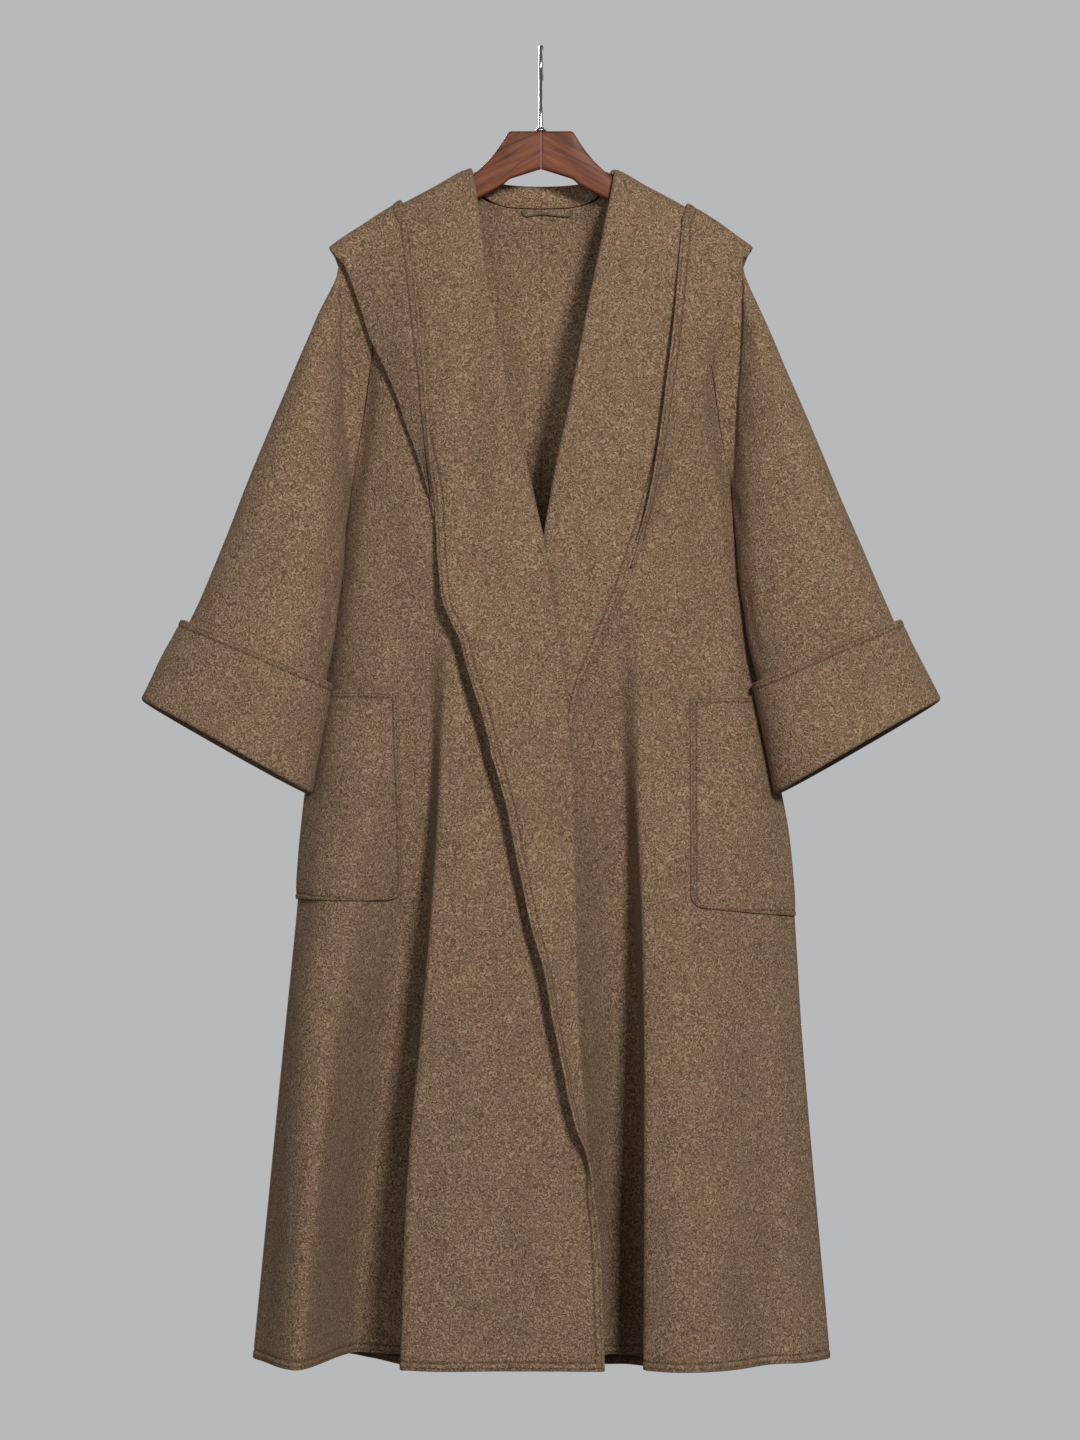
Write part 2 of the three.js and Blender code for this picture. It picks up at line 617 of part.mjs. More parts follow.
// The hood, laid down on the back with its sides over the lapels, in halves that meet at a centre seam.
// Columns: kind, inner out, inner along (or the stand's height), fold out, fold along, face out, face along,
// layer of the under side, of the upper side at the fold, and of the face edge.
const HOOD_BACK = [
  ['stand', 0.2, 22, 0.2, -368, 0.2, -140, 8, 24, 18],
  ['stand', 17, 22, 27, -366, 15, -139, 8, 24, 18],
  ['stand', 34, 22, 54, -356, 32, -135, 8.5, 23.5, 18],
  ['stand', 49, 20, 82, -338, 48, -128, 9, 23, 18],
  ['stand', 60, 16, 108, -306, 64, -117, 9, 21, 17],
  ['stand', 66, 9, 122, -280, 76, -105, 8, 19, 15],
  ['seam', 72.5, -1.6, 134, -252, 86, -96, 7, 17, 13],
  ['seam', 104, -1.6, 150, -198, 101, -75, 6.5, 14.5, 12],
  ['seam', 136, -1.6, 165, -140, 114, -54, 6, 12.5, 10.8],
  ['seam', 162, -1.6, 179, -88, 123, -34, 5, 10.8, 9.8],
  ['seam', 182, -1.6, 190, -48, 129, -21, 6.4, 11.4, 10],
  ['seam', 189, -1.4, 199, -24, 133, -12, 5.8, 10.6, 9.6],
  ['seam', 190.8, -0.8, 203, -9, 136, -4, 5, 9.8, 9],
  ['edge', 191.4, 4.5, 204.5, 5, 137, 4, 3.8, 8.6, 8.4],
  ['edge', 190.6, 10, 202.5, 11, 136.4, 10, 4.2, 8.8, 8.8],
  ['edge', 187.8, 15.5, 198.6, 17, 135, 16, 4.8, 9.4, 9.4],
];
// The side of the hood in front: height of the fold, its out, height of the face edge, its out, strip width.
const WING_RIGHT = [
  [-216, 193, -172, 132, 12],
  [-238, 183, -196, 128, 12],
  [-262, 174, -224, 124, 12],
  [-290, 163, -256, 119.5, 12],
  [-320, 150, -292, 114.5, 12],
  [-350, 138, -326, 111, 11],
  [-380, 128, -362, 107.8, 9],
  [-408, 118, -396, 105, 6],
  [-432, 111.5, -426, 103.5, 4],
  [-452, 107.5, -450, 102.5, 3],
];
const WING_LEFT = [
  [-219, 196, -177, 140.5, 12],
  [-238, 190, -200, 137.5, 12],
  [-262, 182, -228, 134, 12],
  [-292, 171, -260, 130, 12],
  [-326, 158, -298, 125, 12],
  [-362, 145, -338, 119.5, 11],
  [-400, 131, -382, 113.5, 9],
  [-438, 117, -424, 107.5, 6],
  [-472, 106, -464, 100, 4],
  [-500, 97, -496, 93, 3],
];
const STRIP_GAP = 2.2;
const NECK_CORNER_GAP = 8;
const STAND_GAP = 1.2;
const UNDER_SHARES = [0, 0.022, 0.044, 0.066, 0.09, 0.12, 0.34, 0.56, 0.78, 1];
const STRIP_SHARES = [0, 0.12, 0.24, 0.36, 0.48, 0.6, 0.7, 0.8, 0.9, 1];
const UNDER_PUFF = 9;
const UPPER_SHARES = [0.25, 0.5, 0.75, 1];

function hoodStation(side, s) {
  const [kind, innerOut, innerAlong, foldOut, foldAlong, faceOut, faceAlong, under, upper, face] = s;
  const at = (share, off) => layer(side, mix(innerOut, foldOut, share), mix(innerAlong, foldAlong, share), off);
  const line = [];
  if (kind === 'stand') {
    const seam = backTop(innerOut) - STAND_GAP - NECK_CORNER_GAP * smooth(42, 66, innerOut);
    const foot = layer(side, innerOut, -seam, 3 * smooth(52, 66, innerOut));
    const lean = 5 * smooth(70, 50, innerOut);
    const roll = foot.clone().add(new THREE.Vector3(0, lean, innerAlong - STAND_ROLL));
    line.push(foot, foot.clone().lerp(roll, 0.5), roll);
    for (const degrees of [60, 120, 180]) {
      const phi = degrees * Math.PI / 180;
      line.push(roll.clone().add(new THREE.Vector3(0, STAND_ROLL * (1 - Math.cos(phi)), STAND_ROLL * Math.sin(phi))));
    }
    const first = -seam - 14;
    for (const share of [0, 0.33, 0.67, 1]) {
      const puff = UNDER_PUFF * 4 * share * (1 - share);
      line.push(layer(side, mix(innerOut, foldOut, share), mix(first, foldAlong, share), mix(8, under, share) + puff));
    }
  } else {
    const shares = kind === 'edge' ? STRIP_SHARES : UNDER_SHARES;
    const puff = kind === 'edge' ? 0 : UNDER_PUFF * smooth(20, 240, -foldAlong);
    shares.forEach((share) => {
      line.push(at(share, mix(lapelOrUnder(innerAlong, under), under, share) + puff * 4 * share * (1 - share)));
    });
  }
  const before = line[line.length - 2];
  const foldFoot = line[line.length - 1];
  const ahead = foldFoot.clone().sub(before).normalize();
  const normal = bodyNormal(side, foldOut, foldAlong);
  ahead.addScaledVector(normal, -ahead.dot(normal)).normalize();
  const radius = (upper - under) / 2;
  for (const degrees of [45, 90, 135, 180]) {
    const phi = degrees * Math.PI / 180;
    line.push(bodyMiddle(side, foldOut, foldAlong)
      .addScaledVector(normal, under + radius * (1 - Math.cos(phi)))
      .addScaledVector(ahead, radius * Math.sin(phi)));
  }
  UPPER_SHARES.forEach((share) => {
    const puff = UNDER_PUFF * smooth(20, 240, -foldAlong) * 4 * share * (1 - share);
    line.push(layer(side, mix(foldOut, faceOut, share), mix(foldAlong, faceAlong, share), mix(upper, face, share) + puff));
  });
  return line;
}

function lapelOrUnder(along, under) {
  return along > 0 ? lapelLayer(along) : Math.min(under, 4.2);
}

function wingStation(side, row) {
  const [foldZ, foldOut, faceZ, faceOut, strip] = row;
  const foldAlong = alongAt(foldOut, foldZ);
  const innerOut = foldOut - strip + STRIP_GAP;
  const innerAlong = alongAt(innerOut, foldZ);
  const under = lapelLayer(foldAlong);
  const face = under + 4.6;
  return ['edge', innerOut, innerAlong, foldOut, foldAlong, faceOut, alongAt(faceOut, faceZ), under, under + 4.6, face];
}

// The left side's face edge lies a little further out at the shoulder than the right's.
function faceShift(name, out) {
  return name === 'left' ? 6 * smooth(80, 180, out) : 0;
}

for (const [name, side] of Object.entries(SIDES)) {
  const wings = (name === 'right' ? WING_RIGHT : WING_LEFT).map((row) => wingStation(side, row));
  const ridge = HOOD_BACK.map((row) => row.map((value, k) => (k === 5 ? value + faceShift(name, row[1]) : value)));
  const grid = ridge.concat(wings).map((s) => hoodStation(side, s));
  add(`hood_${name}`, clothWall(grid), WOOL);
}

// The hanging loop, a narrow tape caught in the neckline seam.
const LOOP_HALF = 25;
const LOOP_SAG = 5;
const LOOP_Y = 35.3;
const loopPath = new THREE.CatmullRomCurve3([
  [-LOOP_HALF + 6, LOOP_Y, -157], [-LOOP_HALF + 10, LOOP_Y, -157 - LOOP_SAG], [0, LOOP_Y, -157 - LOOP_SAG * 0.6],
  [LOOP_HALF + 2, LOOP_Y - 0.6, -157 - LOOP_SAG], [LOOP_HALF + 6, LOOP_Y - 1.4, -157],
].map((p) => new THREE.Vector3(...p)));
const tape = new THREE.Shape();
tape.moveTo(-1, -1);
tape.lineTo(1, -1);
tape.lineTo(1, 1);
tape.lineTo(-1, 1);
tape.closePath();
add('hanging_loop', new THREE.ExtrudeGeometry(tape, { steps: 16, extrudePath: loopPath, bevelEnabled: false }), WOOL_TRIM);

// The hanger: two wooden halves, a ferrule and a hook. Arm outline: out, top z, bottom z.
const ARM_HALF_DEPTH = 5.5;
const ARM_BEVEL = 3.6;
const WOOD_TOP_Z = -81.5;
const ARM_OUTLINE = [
  [0.2, WOOD_TOP_Z, -119],
  [32, WOOD_TOP_Z, -129],
  [37, -90, -134],
  [44, -100.5, -138.2],
  [52.5, -111, -142.8],
  [64.5, -122.4, -149],
  [70, -127.4, -152],
  [100, -141.6, -168],
  [131, -158, -184.5],
  [160, -175.2, -199],
  [180, -188.6, -208],
];
const ARM_TIP = { out: 188, z: -201 };

function armShape(sign) {
  const shape = new THREE.Shape();
  const inset = ARM_BEVEL;
  const top = ARM_OUTLINE.map(([out, z], k) => [out, z - inset * (k > 1 ? 1.16 : 1)]);
  const bottom = ARM_OUTLINE.map(([out, , z]) => [out, z + inset]).reverse();
  top[0][0] += inset;
  bottom[bottom.length - 1][0] += inset;
  const points = top.concat([[ARM_TIP.out - inset, ARM_TIP.z]], bottom);
  shape.moveTo(sign * points[0][0], points[0][1]);
  points.slice(1).forEach(([out, z]) => shape.lineTo(sign * out, z));
  shape.closePath();
  return shape;
}

for (const [name, side] of Object.entries(SIDES)) {
  const depth = 2 * (ARM_HALF_DEPTH - ARM_BEVEL);
  const options = { depth, bevelEnabled: true, bevelSize: ARM_BEVEL, bevelThickness: ARM_BEVEL, bevelSegments: 2 };
  const arm = new THREE.ExtrudeGeometry(armShape(side.sign), options);
  arm.translate(0, 0, -depth / 2);
  arm.rotateX(Math.PI / 2);
  add(`hanger_arm_${name}`, arm, WALNUT);
}

const HOOK_WIRE = 2.4;
const HOOK_STEPS = 26;
const HOOK_CURVE = 18 + HOOK_WIRE;
const ferruleProfile = [[HOOK_WIRE + 0.4, -81.1], [5.4, -81.1], [5.4, -79.4], [4.4, -78], [HOOK_WIRE + 0.4, -78], [HOOK_WIRE + 0.4, -81.1]];
const ferrule = new THREE.LatheGeometry(ferruleProfile.map(([r, z]) => new THREE.Vector2(r, z)), 14);
ferrule.rotateX(Math.PI / 2);
add('hook_ferrule', ferrule, CHROME);

const hookPath = new THREE.CatmullRomCurve3([
  [0, 0, -81], [0, 0, -70], [0, 1.5, -60], [0, 7, -50],
  [0, 14.5, -36], [0, 19.4, -26], [0, HOOK_CURVE, -18], [0, HOOK_CURVE * 0.866, -18 + HOOK_CURVE / 2],
  [0, HOOK_CURVE / 2, -18 + HOOK_CURVE * 0.866], [0, 0, -18 + HOOK_CURVE], [0, -HOOK_CURVE / 2, -18 + HOOK_CURVE * 0.866],
  [0, -HOOK_CURVE * 0.866, -18 + HOOK_CURVE / 2], [0, -HOOK_CURVE, -18], [0, -HOOK_CURVE * 0.92, -26],
  [0, -HOOK_CURVE * 0.75, -33],
].map((p) => new THREE.Vector3(...p)));
const wire = new THREE.Shape();
wire.absarc(0, 0, HOOK_WIRE, 0, Math.PI * 2, false);
add('hanger_hook', new THREE.ExtrudeGeometry(wire, { steps: HOOK_STEPS, curveSegments: 4, extrudePath: hookPath, bevelEnabled: false }), CHROME);

export default group;
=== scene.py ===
"""A hooded open-front wool coat on a wooden hanger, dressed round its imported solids.

Sizes in the tables are in millimetres, and meshes are made in metres in the frame of the solids.
The origin is the inner top of the hook's crook, -Y is the coat's front, and +X is the wearer's left.
"out" is the distance from the coat's middle plane towards the side that a piece belongs to.
"along" is the distance down the cloth from the shoulder ridge, positive in front and negative behind.
"""

import math

import bpy
import numpy as np
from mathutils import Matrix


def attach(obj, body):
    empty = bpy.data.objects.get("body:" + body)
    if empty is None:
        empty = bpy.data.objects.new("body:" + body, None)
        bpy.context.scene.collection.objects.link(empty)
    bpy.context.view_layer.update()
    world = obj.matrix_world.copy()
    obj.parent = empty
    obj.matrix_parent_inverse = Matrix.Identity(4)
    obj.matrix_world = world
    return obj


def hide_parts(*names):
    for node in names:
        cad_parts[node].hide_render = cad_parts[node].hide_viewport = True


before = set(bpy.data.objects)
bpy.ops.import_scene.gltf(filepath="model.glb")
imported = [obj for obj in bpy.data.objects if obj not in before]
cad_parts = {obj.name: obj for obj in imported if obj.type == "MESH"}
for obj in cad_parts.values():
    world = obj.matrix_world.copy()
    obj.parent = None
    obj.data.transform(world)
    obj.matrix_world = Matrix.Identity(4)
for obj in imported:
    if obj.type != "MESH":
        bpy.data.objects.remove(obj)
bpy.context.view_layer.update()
scene = bpy.context.scene

# Camera: level with the middle of the coat, 4.5 m in front of it.
EYE = (-0.001, -4.5, -0.670)
LENS = 112.5
lens = bpy.data.cameras.new("camera")
lens.lens = LENS
lens.sensor_width = 36
lens.clip_end = 50
camera = bpy.data.objects.new("camera", lens)
camera.location = EYE
camera.rotation_euler = (math.pi / 2, 0, 0)
scene.collection.objects.link(camera)
scene.camera = camera

MM = 0.001
CLOTH = 2.2
ARMHOLE_GAP = 1.6
RIDGE_RADIUS = 8.8
RIDGE_QUARTER = RIDGE_RADIUS * math.pi / 2
RIDGE_BAND = 14
HEM_Z = -1307
BACK_HEM_DROP = 19
UNDERARM_Z = -430
UNDERARM_OUT = 188
SHOULDER_Z = -193
SHOULDER_OUT = 195
NECK_OUT = 69
STAND_ROLL = 3.2

# The line of the cloth over the hanger's arm: out, z.
RIDGE = [
    [0, -90], [35, -99], [69, -121.6], [100, -138.4], [131, -154.8], [160, -172], [195, -195.3], [215, -210],
]

# The half width of the body at each level: z, right side, left side.
WIDTH = [
    [-100, 207, 207], [-205, 203, 203], [-286, 195, 196], [-382, 191, 191], [-430, 188, 189],
    [-510, 199.5, 200], [-585, 210, 211], [-640, 217, 219], [-700, 226, 229], [-740, 232, 237],
    [-770, 235.5, 243], [-800, 238.5, 247], [-860, 243, 252], [-1000, 257, 261], [-1307, 287, 288],
]

# The armhole seam: z, out.
ARMHOLE = [[-190, 193], [-215, 186], [-245, 175], [-286, 166], [-332, 171], [-382, 178.5], [-430, 188]]

# The depth of each front's middle below the ridge: drop, right front, left front.
FRONT_DEPTH = [
    [0, 0, 0], [20, 3, 3], [50, 11, 11], [100, 24, 24], [160, 37, 37], [240, 49, 48], [310, 57, 53],
    [380, 65, 54], [460, 72, 55], [600, 76, 58], [800, 80, 62], [1220, 86, 68],
]

# The back's middle: z, depth.
BACK_DEPTH = [[-120, 34], [-156, 38], [-240, 51], [-410, 59], [-800, 70], [-1100, 80], [-1326, 88]]

# The main fold of each front.
# Columns: z, out of its steep side, steep width, floor width, slope width, depth, lean of its floor.
RIGHT_VALLEY = [
    [-520, 84, 22, 12, 40, 0, 0],
    [-634, 92, 18, 14, 46, 14, -1],
    [-750, 98, 14, 16, 50, 34, -3],
    [-861, 106, 12, 20, 54, 56, -5],
    [-972, 116, 10, 26, 56, 78, -7],
    [-1120, 130, 9, 34, 52, 98, -9],
    [-1307, 137, 9, 46, 50, 112, -11],
]
LEFT_VALLEY = [
    [-500, -110, 40, 10, 60, 0, 0],
    [-600, -103, 30, 12, 70, 10, 1],
    [-740, -99, 20, 16, 70, 34, 3],
    [-861, -102, 16, 20, 68, 58, 5],
    [-972, -103, 12, 22, 64, 78, 7],
    [-1120, -103, 10, 26, 60, 96, 9],
    [-1307, -102, 9, 32, 58, 106, 12],
]
# Slow swells and troughs that run down a panel. Columns: z, middle, half width, height.
RIGHT_OUTER_CREST = [[-640, 190, 60, 0], [-850, 214, 48, 10], [-1050, 226, 46, 24], [-1307, 236, 46, 38]]
LEFT_OUTER_CREST = [[-600, 190, 80, 0], [-850, 176, 90, 12], [-1050, 160, 90, 22], [-1307, 156, 88, 32]]
BACK_TROUGH = [[-480, 100, 40, 0], [-750, 108, 42, 12], [-1000, 116, 44, 24], [-1326, 126, 44, 34]]
BACK_SIDE_CREST = [[-520, 168, 50, 0], [-850, 190, 56, -10], [-1100, 206, 58, -26], [-1326, 216, 60, -44]]

# Roll line of each front. Columns: z, roll out, turn in half circles, lift of the turned edge.
RIGHT_ROLL = [
    [-119, 71, 1, 0], [-150, 67, 1, 0], [-187, 63, 1, 0], [-212, 59, 1, 0], [-250, 54, 1, 0],
    [-306, 42, 1, 0], [-368, 32, 1, 0], [-410, 20, 1, 0], [-430, 15, 1, 0], [-460, 8.5, 1, 1],
    [-489, 2, 1, 5], [-550, -8, 1, 13],
    [-620, -18, 1, 16], [-680, -24, 1, 17], [-750, -29, 1, 16], [-870, -31, 1, 17], [-950, -33, 1, 16],
    [-1010, -36, 0.97, 13], [-1060, -40.5, 0.80, 9], [-1100, -41.4, 0.45, 3], [-1150, -40.1, 0.15, 0],
    [-1200, -41.4, 0, 0], [-1307, -43.9, 0, 0],
]
LEFT_ROLL = [
    [-119, 76, 1, 0], [-150, 72, 1, 0], [-187, 65, 1, 0], [-212, 60, 1, 0], [-255, 51, 1, 0],
    [-307, 41, 1, 0], [-370, 29, 1, 0], [-420, 18, 1, 0], [-460, 11, 1, 0], [-489, 6, 1, 0],
    [-510, 2, 1, 2], [-550, -4, 1, 4],
    [-600, -10, 1, 3], [-650, -16, 1, 0], [-750, -24, 1, 0], [-870, -26, 1, 0], [-950, -28, 1, 0],
    [-1010, -32, 0.95, 0], [-1060, -38, 0.55, 0], [-1100, -30, 0, 0], [-1200, -34, 0, 0], [-1307, -38, 0, 0],
]

# The edge of each lapel: z, out.
RIGHT_EDGE = [
    [-189, 188], [-203, 184], [-216, 178.5], [-238, 170], [-262, 161], [-290, 150], [-320, 137], [-350, 126],
    [-380, 118], [-408, 110.5], [-432, 105.6], [-452, 102.4], [-470, 101.5], [-489, 99.5], [-510, 98],
    [-550, 90], [-590, 76], [-620, 68], [-680, 48], [-750, 31], [-870, 3], [-950, -14], [-1010, -25],
    [-1060, -32.5], [-1100, -32.4], [-1150, -29.1], [-1200, -28.4], [-1307, -29.9],
]
LEFT_EDGE = [
    [-189, 188], [-203, 185], [-214, 183], [-236, 177], [-262, 169], [-292, 158], [-326, 145], [-362, 133],
    [-400, 121], [-438, 110], [-472, 101], [-500, 92], [-510, 89], [-561, 71], [-593, 55], [-630, 38.6],
    [-650, 32.5], [-750, 12], [-870, -8], [-950, -16], [-1010, -21], [-1060, -28], [-1100, -18], [-1200, -20],
    [-1307, -24],
]

# Creases listed for each panel, as bent lines from a start by a middle to an end.
# Columns: out and z of the start, of the middle and of the end, half width, height (below 0 for a trough).
RIGHT_CREASES = [
    [106, -510, 50, -715, 8, -900, 10, -7.0],
    [170, -290, 175, -365, 186, -430, 9, -13.0],
    [66, -230, 66, -400, 62, -540, 15, -4.0],
    [31, -800, -4, -960, -36, -1180, 9, -6.0],
    [150, -500, 158, -640, 150, -780, 26, -2.2],
    [205, -870, 196, -1060, 190, -1300, 24, -5.0],
    [168, -840, 176, -1060, 180, -1306, 22, 3.2],
    [60, -700, 74, -980, 92, -1306, 26, 3.6],
    [28, -900, 36, -1100, 44, -1306, 22, -2.6],
    [150, -330, 140, -420, 118, -520, 22, 2.2],
    [176, -440, 150, -470, 128, -520, 12, -1.6],
    [186, -470, 176, -540, 180, -620, 12, 1.6],
    [230, -900, 244, -1100, 256, -1306, 14, 2.4],
]
LEFT_CREASES = [
    [170, -290, 175, -365, 186, -430, 9, -13.0],
    [208, -760, 222, -1000, 236, -1250, 20, -4.0],
    [140, -480, 130, -620, 134, -760, 26, -2.4],
    [190, -880, 206, -1080, 220, -1300, 26, -6.0],
    [228, -900, 240, -1100, 252, -1306, 16, 3.0],
    [120, -740, 128, -1000, 120, -1306, 24, 3.4],
    [60, -560, 70, -760, 60, -960, 24, -2.0],
    [150, -340, 140, -430, 120, -540, 20, 2.2],
    [178, -440, 154, -474, 134, -520, 12, -1.6],
    [20, -700, 26, -950, 40, -1300, 26, 2.6],
]
BACK_CREASES = [
    [30, -420, 34, -800, 40, -1320, 30, 3.6],
    [70, -560, 78, -900, 84, -1320, 26, -4.4],
    [160, -520, 164, -860, 172, -1320, 22, 3.2],
    [176, -440, 140, -470, 110, -560, 14, -2.0],
    [186, -470, 168, -560, 176, -680, 14, 2.0],
    [236, -900, 250, -1100, 262, -1310, 14, -2.6],
]

SIDES = {
    "right": {"sign": -1, "column": 1, "roll": RIGHT_ROLL, "edge": RIGHT_EDGE, "valley": RIGHT_VALLEY,
              "crest": RIGHT_OUTER_CREST, "creases": RIGHT_CREASES},
    "left": {"sign": 1, "column": 2, "roll": LEFT_ROLL, "edge": LEFT_EDGE, "valley": LEFT_VALLEY,
             "crest": LEFT_OUTER_CREST, "creases": LEFT_CREASES},
}


def hermite(start, end, start_slope, end_slope, t):
    """A cubic from one value to another with a given slope at each."""
    t2, t3 = t * t, t * t * t
    ends = (2 * t3 - 3 * t2 + 1) * start + (3 * t2 - 2 * t3) * end
    return ends + (t3 - 2 * t2 + t) * start_slope + (t3 - t2) * end_slope


def look(table, column, at):
    """Smooth interpolation in a table of rows, the first column rising or falling."""
    rows = np.asarray(table, float)
    if rows[0, 0] > rows[-1, 0]:
        rows = rows[::-1]
    key, value = rows[:, 0], rows[:, column]
    at = np.clip(at, key[0], key[-1])
    i = np.clip(np.searchsorted(key, at) - 1, 0, len(key) - 2)
    span = key[i + 1] - key[i]
    before, after = np.maximum(i - 1, 0), np.minimum(i + 2, len(key) - 1)
    m0 = (value[i + 1] - value[before]) / (key[i + 1] - key[before]) * span
    m1 = (value[after] - value[i]) / (key[after] - key[i]) * span
    return hermite(value[i], value[i + 1], m0, m1, (at - key[i]) / span)


def smooth(low, high, at):
    t = np.clip((at - low) / (high - low), 0, 1)
    return t * t * (3 - 2 * t)


def mix(a, b, t):
    return a + (b - a) * t


def unit(v):
    return v / np.maximum(np.linalg.norm(v, axis=-1, keepdims=True), 1e-9)


def ridge_z(out):
    """Height of the cloth's crest over the hanger's arm."""
    return look(RIDGE, 1, np.abs(out))


def width_at(side, z):
    return look(WIDTH, side["column"], z)


def trough_at(table, out, z):
    """Share of a main fold's depth at a point: 1 on its floor and 0 outside it."""
    steep, steep_width = look(table, 1, z), look(table, 2, z)
    floor, slope = look(table, 3, z), look(table, 4, z)
    past = out - steep
    return smooth(0, 1, past / steep_width) * (1 - smooth(0, 1, (past - steep_width - floor) / slope))


def swell(table, out, z):
    t = np.minimum(np.abs(out - look(table, 1, z)) / look(table, 2, z), 1)
    return look(table, 3, z) * (1 - t * t) ** 2


# A few slow waves stand for the unevenness of hanging cloth.
# Columns: waves a metre across, waves a metre down, phase, height.
WAVES = [
    [3.1, 1.3, 0.4, 0.50], [5.3, -2.1, 1.9, 0.42], [8.7, 3.4, 4.1, 0.30], [12.9, -5.2, 2.6, 0.20],
    [17.3, 7.9, 5.3, 0.14], [26.1, -12.7, 0.9, 0.09], [34.7, 21.3, 3.3, 0.06],
]


def unevenness(out, z, seed):
    """Height of the slow waves, in millimetres."""
    total = np.zeros(np.broadcast(out, z).shape)
    for across, down, phase, height in WAVES:
        bend = 0.9 * np.sin(z * MM * 5.1 + phase * 3 + seed)
        turns = across * out * MM + down * z * MM
        total += height * np.sin(2 * math.pi * turns + phase + seed * 1.7 + bend)
    return total


CREASE_STEPS = 12


def crease_height(creases, out, z):
    """Height of all creases of a panel at a point on it, each fading towards its ends."""
    total = np.zeros(np.broadcast(out, z).shape)
    for row in creases:
        start, middle, end = np.array(row[:6], float).reshape(3, 2)
        half, height = row[6:]
        share = np.linspace(0, 1, CREASE_STEPS + 1)[:, None]
        bend = 2 * middle - (start + end) / 2
        line = (1 - share) ** 2 * start + 2 * share * (1 - share) * bend + share ** 2 * end
        near = (out > line[:, 0].min() - 3 * half) & (out < line[:, 0].max() + 3 * half)
        near &= (z > line[:, 1].min() - 2 * half) & (z < line[:, 1].max() + 2 * half)
        if not near.any():
            continue
        spots = np.stack([np.broadcast_to(out, near.shape)[near], np.broadcast_to(z, near.shape)[near]], -1)
        best, where = np.full(len(spots), 1e9), np.zeros(len(spots))
        for k in range(CREASE_STEPS):
            corner, step = line[k], line[k + 1] - line[k]
            t = np.clip(((spots - corner) @ step) / (step @ step), 0, 1)
            gap = np.linalg.norm(spots - corner - t[:, None] * step, axis=1)
            closer = gap < best
            best[closer], where[closer] = gap[closer], (k + t[closer]) / CREASE_STEPS
        rise = np.sin(np.pi * np.clip(where * 0.94 + 0.03, 0, 1)) ** 0.8
        if line[-1, 1] < HEM_Z + 12:
            rise = np.sin(np.pi / 2 * np.clip(where, 0, 1)) ** 0.9
        total[near] += height * rise * np.exp(-(best / half) ** 2)
    return total


def relief(side, front, out, z):
    """How far the cloth lies outside its plain shape, in millimetres."""
    lower = smooth(-420, -900, z)
    seed = side["sign"] * 1.3 + (0 if front else 2.7)
    calm = smooth(-150, -260, z) * (0.6 + 2.2 * lower)
    edge = smooth(0, 16, width_at(side, z) - np.abs(out)) * (1 if front else smooth(-2, 44, out))
    creases = side["creases"] if front else BACK_CREASES
    return (unevenness(out, z, seed) * calm + crease_height(creases, out, z)) * edge


def body_middle(side, out, along):
    """The middle of the body's cloth, before any layer is moved out from it."""
    shape = np.broadcast(out, along).shape
    out, along = np.broadcast_arrays(np.atleast_1d(out).astype(float), np.atleast_1d(along).astype(float))
    length = np.abs(along)
    angle = np.minimum(length, RIDGE_QUARTER) / RIDGE_RADIUS
    drop = RIDGE_RADIUS * (1 - np.cos(angle)) + np.maximum(0, length - RIDGE_QUARTER)
    z = ridge_z(out) - drop
    share = np.minimum(np.abs(out) / width_at(side, z), 1)
    section = (1 - share ** 2.4) ** 0.62
    base = RIDGE_RADIUS * np.sin(angle) * mix(1, smooth(1.001, 0.9, share), smooth(40, 200, drop))
    depth, x, sense = base.copy(), out.copy(), np.where(along >= 0, -1.0, 1.0)
    part = along >= 0
    if part.any():
        o, h = out[part], z[part]
        dip = trough_at(side["valley"], -side["sign"] * o, h)
        deep = base[part] + look(FRONT_DEPTH, side["column"], drop[part]) * section[part]
        deep += swell(side["crest"], o, h) * (1 - dip) - look(side["valley"], 5, h) * dip
        depth[part] = deep + relief(side, True, o, h)
        x[part] = o + look(side["valley"], 6, h) * dip
    part = ~part
    if part.any():
        o, h = out[part], z[part]
        shown = smooth(0, 105, drop[part] + np.where(o < NECK_OUT, (NECK_OUT - o) * 0.9, 0))
        deep = base[part] + (look(BACK_DEPTH, 1, h) - RIDGE_RADIUS) * section[part] * shown
        deep = deep - swell(BACK_TROUGH, o, h) - swell(BACK_SIDE_CREST, o, h)
        depth[part] = deep + relief(side, False, o, h)
    return np.stack([side["sign"] * x, sense * depth, z], -1).reshape(shape + (3,))


def body_normal(side, out, along, step=0.6):
    """The body's outward direction, worked out over a step on each side in millimetres."""
    across = body_middle(side, out + step, along) - body_middle(side, out - step, along)
    down = body_middle(side, out, along + step) - body_middle(side, out, along - step)
    return unit(np.cross(across, down)) * -side["sign"]


def layer(side, out, along, off, step=0.6):
    """A point on a layer that lies a set distance outside the middle of the body's cloth."""
    out, along = np.broadcast_arrays(np.asarray(out, float), np.asarray(along, float))
    return body_middle(side, out, along) + body_normal(side, out, along, step) * np.asarray(off)[..., None]


def along_at(out, z):
    """Along of the cloth at a height."""
    drop = ridge_z(out) - z
    bent = RIDGE_RADIUS * np.arccos(np.clip(1 - np.maximum(0, drop) / RIDGE_RADIUS, -1, 1))
    return np.where(drop >= RIDGE_RADIUS, drop - RIDGE_RADIUS + RIDGE_QUARTER, bent)


